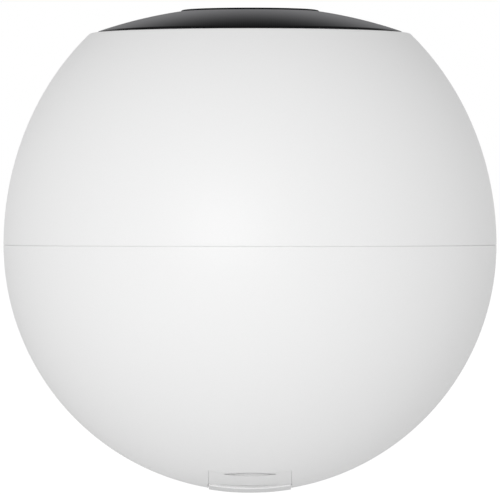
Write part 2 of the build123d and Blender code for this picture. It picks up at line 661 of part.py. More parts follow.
def cone_height(radius):
    """Height of the cone's upper face at a radius."""
    share = (radius - FORMER_OUT_R) / (CONE_R - CONE_LIP - FORMER_OUT_R)
    return CONE_NECK_Z + CONE_T + share * (SURROUND_Z - CONE_NECK_Z - CONE_T)


def dust_cap():
    ball_r = (DUST_CAP_R ** 2 + DUST_CAP_H ** 2) / (2 * DUST_CAP_H)
    base = cone_height(DUST_CAP_R)
    centre = base + DUST_CAP_H - ball_r
    dome = Pos(0, 0, centre) * (Sphere(ball_r) - Sphere(ball_r - DUST_CAP_T))
    return dome & rod(BIG, base, BIG)


def spider():
    count = 6
    span = (SPIDER_R - 0.8 - FORMER_OUT_R - 0.8) / count
    start = FORMER_OUT_R + 0.8
    waves = [(start + i * span, SPIDER_Z + (SPIDER_WAVE if i % 2 else 0.0)) for i in range(count + 1)]
    line = [(FORMER_OUT_R, SPIDER_Z)] + waves + [(SPIDER_R, SPIDER_Z)]
    back = [(r, z + SPIDER_T) for r, z in reversed(line)]
    return turned(line + back)


def voice_coil():
    former = ring(COIL_R, FORMER_OUT_R, COIL_BOTTOM_Z, CONE_NECK_Z + CONE_T)
    low = PLATE_Z + PLATE_T / 2 - WINDING_H / 2
    winding = ring(FORMER_OUT_R, WINDING_OUT_R, low, low + WINDING_H)
    return former + winding


def top_plate():
    return ring(PLATE_HOLE_R, PLATE_R, PLATE_Z, BASKET_FLOOR_Z)


def magnet():
    return ring(MAGNET_HOLE_R, MAGNET_R, MAGNET_Z, PLATE_Z)


def yoke():
    body = rod(PLATE_R, YOKE_Z, MAGNET_Z) + rod(POLE_R, MAGNET_Z - EPS, BASKET_FLOOR_Z)
    return body - rod(POLE_VENT_R, YOKE_Z - EPS, BASKET_FLOOR_Z + EPS)


def driver_terminals():
    return block(8.0, 5.5, BASKET_FLOOR_Z - 1.0, BASKET_FLOOR_Z, 0, WIRE_START_Y + 1.8)


def rear_chamber():
    low = CHAMBER_FLOOR_Z - CHAMBER_T
    body = rod(CHAMBER_OUT_R, low, BAFFLE_Z) + rod(BAFFLE_R, BAFFLE_Z - CHAMBER_FLANGE_T, BAFFLE_Z)
    body -= rod(CHAMBER_R, CHAMBER_FLOOR_Z, FLANGE_Z - CHAMBER_FLANGE_T)
    body -= rod(CHAMBER_R - CHAMBER_STEP, CHAMBER_FLOOR_Z, FLANGE_Z + EPS)
    body -= rod(CHAMBER_R, FLANGE_Z, BAFFLE_Z + EPS)
    for x, y in polar(GRILLE_SCREW_AT_R, 4, 45):
        body -= rod(GRILLE_SCREW[0] + HOLE_FIT, GRILLE_SCREW_SEAT - EPS, BAFFLE_Z + EPS, x, y)
    body -= Pos(0, -CHAMBER_R, WIRE_OUT_Z) * Rot(90, 0, 0) * Cylinder(GROMMET_R, 4 * CHAMBER_T)
    return body - ribbon_gap(BAFFLE_Z - CHAMBER_FLANGE_T - EPS, BAFFLE_Z + EPS)


def damping_pad():
    return ring(PLATE_R + 4.5, CHAMBER_R - 0.3, CHAMBER_FLOOR_Z, CHAMBER_FLOOR_Z + DAMPING_T)


def grille_screws():
    places = polar(GRILLE_SCREW_AT_R, 4, 45)
    return group([screw(x, y, GRILLE_SCREW_SEAT, GRILLE_SCREW_L, *GRILLE_SCREW) for x, y in places])


# ---------------------------------------------------------------- wires and ribbons
def wire(x):
    """One speaker wire, from the driver's terminals to the main board."""
    start = (x, WIRE_START_Y, BASKET_FLOOR_Z - 1.0)
    stops = [start, (x, WIRE_START_Y, WIRE_OUT_Z), (x, WIRE_DOWN_Y, WIRE_OUT_Z),
             (x, WIRE_DOWN_Y, BOARD_TOP + CONNECTOR_T)]
    path = FilletPolyline(*stops, radius=1.6)
    section = Plane(origin=start, z_dir=(0, 0, -1)) * Circle(WIRE_R)
    return sweep(section, path=path)


def speaker_wires():
    return group([wire(-WIRE_AT_X), wire(WIRE_AT_X)])


def wire_grommet():
    along = Pos(0, -(CHAMBER_R + CHAMBER_T / 2), WIRE_OUT_Z) * Rot(90, 0, 0)
    plug = along * Cylinder(GROMMET_R, CHAMBER_T + 2 * GROMMET_PROUD)
    middle = Pos(0, -CHAMBER_OUT_R - GROMMET_PROUD, WIRE_OUT_Z)
    outside = middle * Rot(90, 0, 0) * Cylinder(GROMMET_R + GROMMET_FLANGE, 2 * GROMMET_PROUD)
    outside -= rod(CHAMBER_OUT_R, 0, WIRE_OUT_Z * 2)
    body = plug + outside
    for x in (-WIRE_AT_X, WIRE_AT_X):
        body -= Pos(x, -CHAMBER_R, WIRE_OUT_Z) * Rot(90, 0, 0) * Cylinder(WIRE_R, 8 * CHAMBER_T)
    return body


def ribbon_gap(low, high):
    return block(RIBBON_W + 2 * RIBBON_FIT, 1.1, low, high, 0, RIBBON_Y)


def ribbon_cable():
    start_y = 9.0
    end_y = RIBBON_Y + RIBBON_T / 2
    flat = block(RIBBON_W, end_y - start_y, TOP_BOARD_Z - RIBBON_T, TOP_BOARD_Z, 0, (start_y + end_y) / 2)
    drop = block(RIBBON_W, RIBBON_T, BOARD_TOP + CONNECTOR_T, TOP_BOARD_Z, 0, RIBBON_Y)
    return flat + drop


# ---------------------------------------------------------------- chassis, main board and its parts
def chassis():
    plate = ring(CHASSIS_HOLE_R, CHASSIS_R, CHASSIS_Z, CHASSIS_TOP)
    legs = [rod(STANDOFF_R, BOARD_TOP, CHASSIS_Z + EPS, x, y) for x, y in polar(STANDOFF_AT_R, 4, 45)]
    plate = fuse([plate] + legs)
    for x, y in polar(STANDOFF_AT_R, 4, 45):
        plate -= rod(BOARD_SCREW[0], BOARD_TOP - EPS, CHASSIS_Z, x, y)
    for x, y in polar(BOSS_AT_R, 4, 45):
        plate -= rod(CHASSIS_SCREW[0] + HOLE_FIT, CHASSIS_Z - EPS, CHASSIS_TOP + EPS, x, y)
    for x, y in polar(POST_AT_R, 3, 90):
        plate -= rod(POST_SCREW[0] + HOLE_FIT, CHASSIS_Z - EPS, CHASSIS_TOP + EPS, x, y)
    for y in (RIBBON_Y, WIRE_DOWN_Y):
        plate -= block(RIBBON_W + 2, 4.0, CHASSIS_Z - EPS, CHASSIS_TOP + EPS, 0, y)
    return plate


def chassis_screws():
    places = polar(BOSS_AT_R, 4, 45)
    return group([screw(x, y, CHASSIS_Z, CHASSIS_T + CHASSIS_SCREW_L, *CHASSIS_SCREW) for x, y in places])


def main_board():
    board = rod(BOARD_R, BOARD_Z, BOARD_TOP)
    start_y = BOARD_R / 2
    tab = block(BOARD_TAB_W, BOARD_TAB_Y - start_y, BOARD_Z, BOARD_TOP, 0, (BOARD_TAB_Y + start_y) / 2)
    board += tab
    for x, y in polar(STANDOFF_AT_R, 4, 45):
        board -= rod(BOARD_SCREW[0] + HOLE_FIT, BOARD_Z - EPS, BOARD_TOP + EPS, x, y)
    for x, y in polar(POST_AT_R, 3, 90):
        board -= rod(POST_R + POST_FIT, BOARD_Z - EPS, BOARD_TOP + EPS, x, y)
    return board


def board_screws():
    places = polar(STANDOFF_AT_R, 4, 45)
    return group([screw(x, y, BOARD_Z, BOARD_T + BOARD_SCREW_L, *BOARD_SCREW) for x, y in places])


def under_board(size_x, size_y, height, x, y):
    """Component soldered to the underside of the main board."""
    return block(size_x, size_y, BOARD_Z - height, BOARD_Z, x, y)


def processor_shield():
    return under_board(18.0, 18.0, SHIELD_H, 0, 2.0)


def thermal_pad():
    top = BOARD_Z - SHIELD_H
    return block(14.0, 14.0, top - PAD_T, top, 0, 2.0)


def heat_spreader():
    top = BOARD_Z - SHIELD_H - PAD_T
    return block(24.0, 24.0, top - SPREADER_T, top, 0, 2.0)


def wireless_module():
    return under_board(12.0, 15.0, 2.2, 24.0, 6.0)


def antenna():
    return under_board(2.4, 20.0, 0.8, 33.0, 0.0)


def capacitors():
    places = [(-25.0, -8.0), (-25.0, 1.0), (-25.0, 10.0)]
    return group([rod(3.15, BOARD_Z - 8.0, BOARD_Z, x, y) for x, y in places])


def inductors():
    places = [(-15.5, 23.0), (15.5, 23.0)]
    return group([under_board(6.6, 6.6, 3.0, x, y) for x, y in places])


def board_chips():
    front_y = SERVICE_CABLE_Y - 7.3
    chips = [(7.0, 7.0, 1.0, -14.0, 13.0), (9.0, 11.0, 1.0, 0.0, front_y), (5.0, 6.0, 1.6, 22.0, -14.0)]
    return group([under_board(*chip) for chip in chips])


def board_connectors():
    ribbon_end = block(8.0, 2.4, BOARD_TOP, BOARD_TOP + CONNECTOR_T, 0, RIBBON_Y)
    wire_end = block(7.0, 4.0, BOARD_TOP, BOARD_TOP + CONNECTOR_T, 0, WIRE_DOWN_Y)
    service_end = block(8.0, 2.4, BOARD_Z - CONNECTOR_T, BOARD_Z, 0, SERVICE_CABLE_Y)
    return group([ribbon_end, wire_end, service_end])


def power_inlet():
    body = block(INLET_W, INLET_L, BOARD_Z - INLET_H, BOARD_Z, 0, INLET_FACE_Y - INLET_L / 2)
    facing = Pos(0, INLET_FACE_Y, INLET_Z) * Rot(90, 0, 0)
    body -= facing * Cylinder(INLET_BORE_R, 2 * INLET_BORE_L)
    return body


def inlet_pin():
    middle = INLET_FACE_Y - INLET_BORE_L / 2 - 0.5
    return Pos(0, middle, INLET_Z) * Rot(90, 0, 0) * Cylinder(INLET_PIN_R, INLET_BORE_L - 1.0)


# ---------------------------------------------------------------- ballast
def ballast():
    body = turned([(0, FLOOR_Z), (BALLAST_R, FLOOR_Z), (BALLAST_TOP_R, BALLAST_TOP), (0, BALLAST_TOP)])
    body -= block(NOTCH_W, BALL_R, FLOOR_Z - EPS, BALLAST_TOP + EPS, 0, NOTCH_Y - BALL_R / 2)
    for x, y in polar(FOOT_SCREW_AT_R, 3, 90):
        body -= rod(FOOT_SCREW[0], FLOOR_Z - EPS, FOOT_SCREW_SEAT + FOOT_SCREW_L, x, y)
    for x, y in polar(POST_AT_R, 3, 90):
        body -= rod(POST_SCREW[0] + HOLE_FIT, FLOOR_Z - EPS, BALLAST_TOP + EPS, x, y)
        body -= rod(POST_SCREW[1] + HOLE_FIT, FLOOR_Z - EPS, POST_SEAT, x, y)
    return body


def ballast_posts():
    posts = []
    for x, y in polar(POST_AT_R, 3, 90):
        post = rod(POST_R, BALLAST_TOP, CHASSIS_Z, x, y)
        post -= rod(POST_SCREW[0], BALLAST_TOP - EPS, POST_SEAT + POST_SCREW_L, x, y)
        post -= rod(POST_SCREW[0], CHASSIS_TOP - POST_SCREW_L, CHASSIS_Z + EPS, x, y)
        posts.append(post)
    return group(posts)


def post_screws():
    places = polar(POST_AT_R, 3, 90)
    low = [screw(x, y, POST_SEAT, POST_SCREW_L, *POST_SCREW) for x, y in places]
    high = [screw(x, y, CHASSIS_TOP, POST_SCREW_L, *POST_SCREW, up=False) for x, y in places]
    return group(low + high)


def foot_screws():
    places = polar(FOOT_SCREW_AT_R, 3, 90)
    return group([screw(x, y, FOOT_SCREW_SEAT, FOOT_SCREW_L, *FOOT_SCREW) for x, y in places])


# ---------------------------------------------------------------- writing the parts
PIECES = (
    upper_shell, lower_shell, seam_seal, foot_pad, port_cover, hinge_pin,
    grille_cloth, grille_frame, action_button, light_ring, top_board, top_board_screws,
    tact_switch, switch_plunger, status_leds, microphones, grille_screws,
    baffle, driver_gasket, driver_surround, driver_basket, driver_cone, dust_cap, spider,
    voice_coil, top_plate, magnet, yoke, driver_terminals, rear_chamber, damping_pad,
    wire_grommet, speaker_wires, ribbon_cable,
    chassis, chassis_screws, main_board, board_screws, processor_shield, thermal_pad,
    heat_spreader, wireless_module, antenna, capacitors, inductors, board_chips,
    board_connectors, power_inlet, inlet_pin,
    ballast, ballast_posts, post_screws, foot_screws,
    service_socket, service_board, service_screws, service_cable,
)

os.makedirs("parts", exist_ok=True)
for piece in PIECES:
    placed = Pos(0, 0, EQUATOR_Z) * piece()
    export_step(placed, f"parts/{piece.__name__}.step")
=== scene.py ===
"""Smart speaker: a white ball with a dark cloth dome, a round button and a small port cover.

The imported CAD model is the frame. The pieces that show are modelled again here with finer
meshes, in metres and in the CAD's own places, and every CAD node that stays gets a finish.
"""

import json
import logging
import math
from dataclasses import dataclass
from enum import Enum
from typing import Iterable, Sequence

import bpy
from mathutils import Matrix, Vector


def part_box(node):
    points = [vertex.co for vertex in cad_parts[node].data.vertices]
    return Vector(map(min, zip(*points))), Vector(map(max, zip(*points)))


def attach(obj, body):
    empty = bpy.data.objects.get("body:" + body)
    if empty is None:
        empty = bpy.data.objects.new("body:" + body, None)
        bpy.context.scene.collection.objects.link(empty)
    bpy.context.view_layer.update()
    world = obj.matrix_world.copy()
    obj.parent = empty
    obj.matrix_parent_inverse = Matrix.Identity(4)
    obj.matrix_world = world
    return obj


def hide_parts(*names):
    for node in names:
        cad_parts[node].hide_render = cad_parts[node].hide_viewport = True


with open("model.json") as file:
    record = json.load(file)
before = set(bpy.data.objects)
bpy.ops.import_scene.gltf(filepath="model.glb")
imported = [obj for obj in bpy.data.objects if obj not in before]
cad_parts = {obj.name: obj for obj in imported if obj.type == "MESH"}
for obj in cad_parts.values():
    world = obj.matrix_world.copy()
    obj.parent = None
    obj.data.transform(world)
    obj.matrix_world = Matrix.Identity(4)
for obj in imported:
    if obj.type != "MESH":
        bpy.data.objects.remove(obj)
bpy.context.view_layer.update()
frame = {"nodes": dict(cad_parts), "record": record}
LOG = logging.getLogger("smart_speaker")

MM = 0.001
HALF_SEAM = 0.04          # half of the reveal between the two shells, in millimetres
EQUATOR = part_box("lower_shell")[1].z + HALF_SEAM * MM
WELD = 0.002 * MM         # corners closer than this are one corner
QUARTERS = (45, 135, 225, 315)    # angles of the screw posts and the microphone holes, in degrees
THIRDS = (90, 210, 330)   # angles of the foot screws, in degrees

Point = tuple[float, float]


# ------------------------------------------------------------------ finishes
class Pattern(Enum):
    """How a surface was made, which decides the pattern drawn on it."""

    SPARK = "spark-eroded mould texture"
    WEAVE = "woven threads"
    BRUSHED = "rolled or drawn metal"
    CAST = "sand-cast or sintered grain"
    FIBRE = "felt, pulp or foam"
    LAMINATE = "glass cloth under solder mask"
    WINDING = "wire wound on a tube"


def linear(colour: str) -> tuple[float, float, float, float]:
    """Turns an sRGB hex colour into linear light.

    Args:
        colour: Six hex digits, such as "f2f2f0".

    Returns:
        Linear red, green and blue, with alpha 1.
    """
    parts = [int(colour[i:i + 2], 16) / 255 for i in (0, 2, 4)]
    light = [p / 12.92 if p <= 0.04045 else ((p + 0.055) / 1.055) ** 2.4 for p in parts]
    return (light[0], light[1], light[2], 1.0)


def add(tree: bpy.types.NodeTree, kind: str, settings: dict | None = None,
        **links: object) -> bpy.types.Node:
    """Adds one node, sets it up and links its inputs.

    Args:
        tree: The node tree that takes the node.
        kind: The node's type name.
        settings: Node properties by name.
        **links: Inputs by name, with spaces written as underscores. A socket is linked, and
            anything else is set as the input's value.

    Returns:
        The new node.
    """
    node = tree.nodes.new(kind)
    for name, value in (settings or {}).items():
        setattr(node, name, value)
    for name, value in links.items():
        socket = node.inputs[name.replace("_", " ")]
        if isinstance(value, bpy.types.NodeSocket):
            tree.links.new(value, socket)
        else:
            socket.default_value = value
    return node


SHEEN_FROM = 0.705         # how far a surface turns away from the view before the painted sheen starts
SHEEN_TO = 0.93            # and where the painted sheen is full
BUMP_STRENGTH = 0.35
CLOUDS_PER_METRE = 45.0   # slow wander of the roughness over a surface
DRAWN_STRETCH = 0.06      # drawn lines run this much slower along the piece


@dataclass(frozen=True)
class Finish:
    """One real material and how its surface was made.

    Attributes:
        name: The material's name.
        colour: Its colour on the high spots of the pattern, as sRGB hex.
        shade: Its colour in the low spots.
        roughness: Mean roughness.
        pattern: The pattern left by the process.
        pitch_mm: Size of the pattern.
        relief_mm: Depth of the pattern.
        metallic: 1 for bare metal.
        ior: Index of refraction of anything that is not metal.
        specular: Strength of the reflection of anything that is not metal.
        swing: How far the roughness wanders to each side.
        coat: Strength of a clear coat.
        glow: Strength of its own light.
        see_through: Share of light let through.
        painted_sheen: Colour of the painted sheen, a lighter tone mixed in where the surface turns away
            from the view, or nothing.
    """

    name: str
    colour: str
    shade: str
    roughness: float
    pattern: Pattern = Pattern.SPARK
    pitch_mm: float = 0.2
    relief_mm: float = 0.004
    metallic: float = 0.0
    ior: float = 1.5
    specular: float = 0.5
    swing: float = 0.04
    coat: float = 0.0
    glow: float = 0.0
    see_through: float = 0.0
    painted_sheen: str = ""

    def height(self, tree: bpy.types.NodeTree, place: bpy.types.NodeSocket) -> bpy.types.NodeSocket:
        """Draws the pattern as a height from 0 to 1.

        Args:
            tree: The material's node tree.
            place: The piece's own coordinates, in metres.

        Returns:
            The socket that carries the height.
        """
        per_metre = 1.0 / (self.pitch_mm * MM)
        if self.pattern is Pattern.WEAVE:
            warp = self.threads(tree, place, "X", per_metre)
            weft = self.threads(tree, place, "Y", per_metre)
            both = add(tree, "ShaderNodeMixRGB", {"blend_type": "MULTIPLY"}, Fac=1.0,
                       Color1=warp, Color2=weft)
            return both.outputs["Color"]
        if self.pattern is Pattern.WINDING:
            return self.threads(tree, place, "Z", per_metre)
        if self.pattern is Pattern.BRUSHED:
            stretched = add(tree, "ShaderNodeMapping", Vector=place, Scale=(1.0, 1.0, DRAWN_STRETCH))
            return add(tree, "ShaderNodeTexNoise", Vector=stretched.outputs["Vector"],
                       Scale=per_metre, Detail=3.0, Roughness=0.6).outputs["Fac"]
        if self.pattern is Pattern.CAST:
            return add(tree, "ShaderNodeTexVoronoi", {"feature": "SMOOTH_F1"}, Vector=place,
                       Scale=per_metre).outputs["Distance"]
        if self.pattern is Pattern.LAMINATE:
            return add(tree, "ShaderNodeTexVoronoi", {"distance": "CHEBYCHEV"}, Vector=place,
                       Scale=per_metre).outputs["Distance"]
        detail = 6.0 if self.pattern is Pattern.FIBRE else 2.0
        return add(tree, "ShaderNodeTexNoise", Vector=place, Scale=per_metre, Detail=detail,
                   Roughness=0.55).outputs["Fac"]

    def threads(self, tree: bpy.types.NodeTree, place: bpy.types.NodeSocket, axis: str,
                per_metre: float) -> bpy.types.NodeSocket:
        """Draws one set of parallel threads.

        Args:
            tree: The material's node tree.
            place: The piece's own coordinates, in metres.
            axis: The axis that the threads repeat along.
            per_metre: Threads in a metre.

        Returns:
            The socket that carries their height.
        """
        wave = add(tree, "ShaderNodeTexWave", {"bands_direction": axis}, Vector=place,
                   Scale=per_metre * math.pi / 10.0, Distortion=0.15, Detail=1.0)
        return wave.outputs["Fac"]

    def make(self) -> bpy.types.Material:
        """Builds the material.

        Returns:
            The finished material.
        """
        material = bpy.data.materials.new(self.name)
        material.use_nodes = True
        tree = material.node_tree
        tree.nodes.clear()
        place = add(tree, "ShaderNodeTexCoord").outputs["Object"]
        height = self.height(tree, place)
        cloud = add(tree, "ShaderNodeTexNoise", Vector=place, Scale=CLOUDS_PER_METRE,
                    Detail=3.0).outputs["Fac"]
        blend = add(tree, "ShaderNodeMixRGB", {"blend_type": "MIX"}, Fac=height,
                    Color1=linear(self.shade), Color2=linear(self.colour))
        colour = blend.outputs["Color"]
        # Painted sheen: a lighter colour is mixed into the base colour as the surface turns away from the
        # view, standing in for the cloth's grazing reflection.
        if self.painted_sheen:
            facing = add(tree, "ShaderNodeLayerWeight", Blend=0.5).outputs["Facing"]
            sheen_mask = add(tree, "ShaderNodeMapRange", {"interpolation_type": "SMOOTHSTEP"}, Value=facing,
                        From_Min=SHEEN_FROM, From_Max=SHEEN_TO)
            with_sheen = add(tree, "ShaderNodeMixRGB", {"blend_type": "MIX"}, Fac=sheen_mask.outputs["Result"],
                        Color1=colour, Color2=linear(self.painted_sheen))
            colour = with_sheen.outputs["Color"]
        rough = add(tree, "ShaderNodeMapRange", Value=cloud,
                    To_Min=max(0.02, self.roughness - self.swing),
                    To_Max=min(1.0, self.roughness + self.swing))
        bump = add(tree, "ShaderNodeBump", Height=height, Strength=BUMP_STRENGTH,
                   Distance=self.relief_mm * MM)
        shader = add(tree, "ShaderNodeBsdfPrincipled", Base_Color=colour,
                     Roughness=rough.outputs["Result"], Normal=bump.outputs["Normal"],
                     Metallic=self.metallic)
        if self.metallic == 0.0:
            shader.inputs["IOR"].default_value = self.ior
            shader.inputs["Specular IOR Level"].default_value = self.specular
        shader.inputs["Coat Weight"].default_value = self.coat
        shader.inputs["Transmission Weight"].default_value = self.see_through
        if self.glow:
            shader.inputs["Emission Color"].default_value = linear(self.colour)
            shader.inputs["Emission Strength"].default_value = self.glow
        add(tree, "ShaderNodeOutputMaterial", Surface=shader.outputs["BSDF"])
        return material


# Satin white ABS from a finely spark-eroded mould: soft highlight, no grain at arm's length.
SHELL_WHITE = Finish("satin_white_abs", "f3f3f3", "efefef", 0.46, pitch_mm=0.25, relief_mm=0.0015,
                     specular=0.35)
# The same ABS on the small cover, moulded in another tool, a touch smoother.
COVER_WHITE = Finish("satin_white_abs_cover", "f0f0f0", "ececec", 0.42, pitch_mm=0.22, relief_mm=0.0015,
                     specular=0.35)
# Light grey silicone: matt, a touch darker than the shell.
FOOT_GREY = Finish("light_grey_silicone", "efefef", "e9e9e9", 0.62, pitch_mm=0.3, relief_mm=0.003,
                   specular=0.25)
# Black acoustic weave: near black seen face on, with a painted grey sheen mixed in at a low angle in
# place of its grazing reflection.
CLOTH_BLACK = Finish("black_acoustic_weave", "212123", "101011", 0.85, Pattern.WEAVE, 0.42, 0.02,
                     specular=0.05, painted_sheen="8e8e90")
# Fine-textured black ABS of the button: matt, and darker than the cloth at a low angle.
BUTTON_BLACK = Finish("matt_black_abs", "161617", "111112", 0.72, pitch_mm=0.2, relief_mm=0.002,
                      specular=0.02)

HIDDEN_FINISHES: dict[str, Finish] = {
    # Moulded rubber: matt black, slightly dusty.
    "black_rubber": Finish("black_epdm", "17171a", "0f0f11", 0.72, pitch_mm=0.5),
    # Moulded black ABS: even, low gloss.
    "black_plastic": Finish("moulded_black_abs", "19191b", "121213", 0.5, pitch_mm=0.3),
    # Opal polycarbonate: milky, lets light through.
    "light_guide": Finish("opal_polycarbonate", "f6f4ee", "eceae4", 0.35, see_through=0.35, ior=1.585),
    # Solder mask over glass cloth: glossy green with the cloth just showing.
    "board": Finish("green_solder_mask", "1f5a34", "17462a", 0.32, Pattern.LAMINATE, 0.9, 0.01, coat=0.4),
    # Zinc plate: bright, with drawn lines.
    "steel": Finish("zinc_plated_steel", "c3c4c2", "a9aaa8", 0.3, Pattern.BRUSHED, 0.15, metallic=1.0),
    # Moulded grey ABS: even, low gloss.
    "grey_plastic": Finish("moulded_grey_abs", "63666a", "595c60", 0.5, pitch_mm=0.3),
    # Clear epoxy over phosphor: pale yellow, faintly lit.
    "led_white": Finish("phosphor_epoxy", "f7f1cf", "efe6bd", 0.25, pitch_mm=0.2, glow=0.15),
    # Plated can: warm, with rolled lines.
    "gold_can": Finish("gold_plated_can", "d8b45a", "c79f45", 0.28, Pattern.BRUSHED, 0.12, metallic=1.0),
    # Closed-cell foam: dull, with open pores on its cut face.
    "black_foam": Finish("closed_cell_foam", "1d1d1f", "121214", 0.9, Pattern.FIBRE, 0.5, 0.08),
    # Coated pressed steel: black with a thin gloss.
    "basket_steel": Finish("black_coated_steel", "1c1c1e", "151517", 0.45, pitch_mm=0.35, coat=0.2),
    # Coated pulp: dark, fibrous.
    "paper_cone": Finish("coated_pulp", "2b2a29", "1f1e1e", 0.8, Pattern.FIBRE, 0.7, 0.06),
    # Resin-stiffened cloth: tan weave.
    "spider_cloth": Finish("resin_stiffened_cloth", "b98b45", "966d30", 0.75, Pattern.WEAVE, 0.6, 0.08),
    # Enamelled copper wire: rows of bright turns.
    "copper": Finish("enamelled_copper_wire", "c9703d", "9b4f28", 0.25, Pattern.WINDING, 0.18, 0.06,
                     metallic=1.0),
    # Bright plate: a sharper reflection than zinc.
    "plated_steel": Finish("bright_plated_steel", "cfcfca", "b9b9b4", 0.26, Pattern.BRUSHED, 0.2,
                           metallic=1.0),
    # Sintered ferrite: dark grey grain.
    "ferrite": Finish("sintered_ferrite", "323236", "26262a", 0.55, Pattern.CAST, 0.6, 0.02),
    # Needled felt: loose grey fibres.
    "felt": Finish("needled_felt", "a7a69c", "8d8c83", 0.95, Pattern.FIBRE, 0.4, 0.15),
    # PVC insulation: smooth red.
    "wire_red": Finish("pvc_insulation", "a51f1f", "8e1919", 0.4, pitch_mm=0.4),
    # Polyester flat cable: cream, with its conductors as fine lines.
    "ribbon": Finish("polyester_flat_cable", "e4dcc4", "cfc6ac", 0.35, Pattern.BRUSHED, 0.5, coat=0.3),
    # Tin-plated sheet: soft grey shine.
    "shield_tin": Finish("tin_plated_sheet", "d2d2cc", "bdbdb7", 0.34, Pattern.BRUSHED, 0.25,
                         metallic=1.0),
    # Silicone gap pad: dull blue-grey.
    "thermal_pad": Finish("silicone_gap_pad", "7f98ab", "708799", 0.7, Pattern.FIBRE, 0.3),
    # Anodised aluminium: pale, rolled lines.
    "spreader_aluminium": Finish("anodised_aluminium", "cfd1d3", "bfc1c4", 0.38, Pattern.BRUSHED, 0.2,
                                 metallic=1.0),
    # Fired ceramic: off-white, fine grain.
    "ceramic_white": Finish("fired_ceramic", "e9e7dd", "dddbd0", 0.3, Pattern.CAST, 0.15, 0.004),
    # Sleeved aluminium can: dark blue film.
    "capacitor_can": Finish("sleeved_can", "3a3d58", "2f3148", 0.35, pitch_mm=0.4),
    # Moulded epoxy: charcoal, fine grain.
    "chip_black": Finish("moulded_epoxy", "1b1b1c", "141415", 0.55, pitch_mm=0.15),
    # Moulded nylon: cream.
    "connector_white": Finish("moulded_nylon", "e6e2d4", "dad6c8", 0.45, pitch_mm=0.3),
    # Sand-cast iron: coarse dark grain.
    "cast_iron": Finish("sand_cast_iron", "58585b", "414144", 0.68, Pattern.CAST, 0.9, 0.08,
                        metallic=1.0),
}


# ------------------------------------------------------------------ modelling helpers
def clear_selection() -> None:
    """Leaves edit mode and deselects every object."""
    if bpy.context.object and bpy.context.object.mode != "OBJECT":
        bpy.ops.object.mode_set(mode="OBJECT")
    bpy.ops.object.select_all(action="DESELECT")


def choose(piece: bpy.types.Object) -> None:
    """Makes a piece the only one selected, and active."""
    clear_selection()
    bpy.context.view_layer.objects.active = piece
    piece.select_set(True)


def arc(centre: Point, radius: Point, start: float, end: float, steps: int) -> list[Point]:
    """Points along an arc of a circle or an ellipse.

    Args:
        centre: Its centre as (across, up) in millimetres.
        radius: Its two half-axes.
        start: First angle in degrees, from the outward direction.
        end: Last angle in degrees.
        steps: Number of stretches.

    Returns:
        The points, both ends included.
    """
    angles = [math.radians(start + (end - start) * i / steps) for i in range(steps + 1)]
    return [(centre[0] + radius[0] * math.cos(a), centre[1] + radius[1] * math.sin(a)) for a in angles]


def draw_outline(name: str, places: Sequence[Vector]) -> bpy.types.Object:
    """Draws a closed outline as a chain of edges and leaves it in edit mode, all selected.

    Args:
        name: Name of the new piece.
        places: Corners in order, in metres.

    Returns:
        The new object.
    """
    clear_selection()
    bpy.ops.mesh.primitive_plane_add(size=MM, location=places[0])
    piece = bpy.context.object
    piece.name = name
    bpy.ops.object.transform_apply(location=True, rotation=True, scale=True)
    bpy.ops.object.mode_set(mode="EDIT")
    bpy.ops.mesh.select_mode(type="VERT")
    bpy.ops.mesh.select_all(action="SELECT")
    bpy.ops.mesh.merge(type="CENTER")
    for here, there in zip(places, list(places[1:]) + [places[0]]):
        bpy.ops.mesh.extrude_region_move(TRANSFORM_OT_translate={"value": there - here})
    bpy.ops.mesh.select_all(action="SELECT")
    bpy.ops.mesh.remove_doubles(threshold=WELD)
    return piece


def close_up(piece: bpy.types.Object, degrees: float = 30.0) -> bpy.types.Object:
    """Merges doubled corners, turns the faces outward and shades the piece smooth.

    Args:
        piece: The object, in edit or object mode.
        degrees: Edges sharper than this stay crisp.

    Returns:
        The same object, in object mode.
    """
    choose(piece)
    bpy.ops.object.mode_set(mode="EDIT")
    bpy.ops.mesh.select_all(action="SELECT")
    bpy.ops.mesh.remove_doubles(threshold=WELD)
    bpy.ops.mesh.normals_make_consistent(inside=False)
    bpy.ops.object.mode_set(mode="OBJECT")
    bpy.ops.object.shade_smooth_by_angle(angle=math.radians(degrees))
    return piece


def turned(name: str, outline: Sequence[Point], steps: int = 160) -> bpy.types.Object:
    """Turns a closed outline round the upright axis, as on a lathe.

    Args:
        name: Name of the piece.
        outline: (radius, height above the seam) points in millimetres, in order.
        steps: Number of stretches round the axis.

    Returns:
        The new object.
    """
    piece = draw_outline(name, [Vector((r * MM, 0.0, EQUATOR + z * MM)) for r, z in outline])
    bpy.ops.mesh.spin(steps=steps, angle=math.tau, center=(0, 0, 0), axis=(0, 0, 1))
    return close_up(piece)


def prism(name: str, corners: Sequence[Vector], along: Vector) -> bpy.types.Object:
    """Closed flat outline pushed straight out into a solid.

    Args:
        name: Name of the piece.
        corners: Corners in order, in millimetres about the ball's centre.
        along: The push, in millimetres.

    Returns:
        The new object.
    """
    lift = Vector((0.0, 0.0, EQUATOR))
    piece = draw_outline(name, [corner * MM + lift for corner in corners])
    bpy.ops.mesh.edge_face_add()
    bpy.ops.mesh.extrude_region_move(TRANSFORM_OT_translate={"value": along * MM})
    return close_up(piece)


def rod(name: str, radius: float, start: Vector, along: Vector, steps: int = 48) -> bpy.types.Object:
    """Cylinder from a start point along a vector, in millimetres about the ball's centre.

    Args:
        name: Name of the piece.
        radius: Its radius.
        start: Centre of its first end.
        along: From its first end to its last.
        steps: Number of flats round it.

    Returns:
        The new object.
    """
    side = along.orthogonal().normalized()
    up = along.normalized().cross(side)
    turns = [math.tau * i / steps for i in range(steps)]
    return prism(name, [start + (side * math.cos(t) + up * math.sin(t)) * radius for t in turns], along)


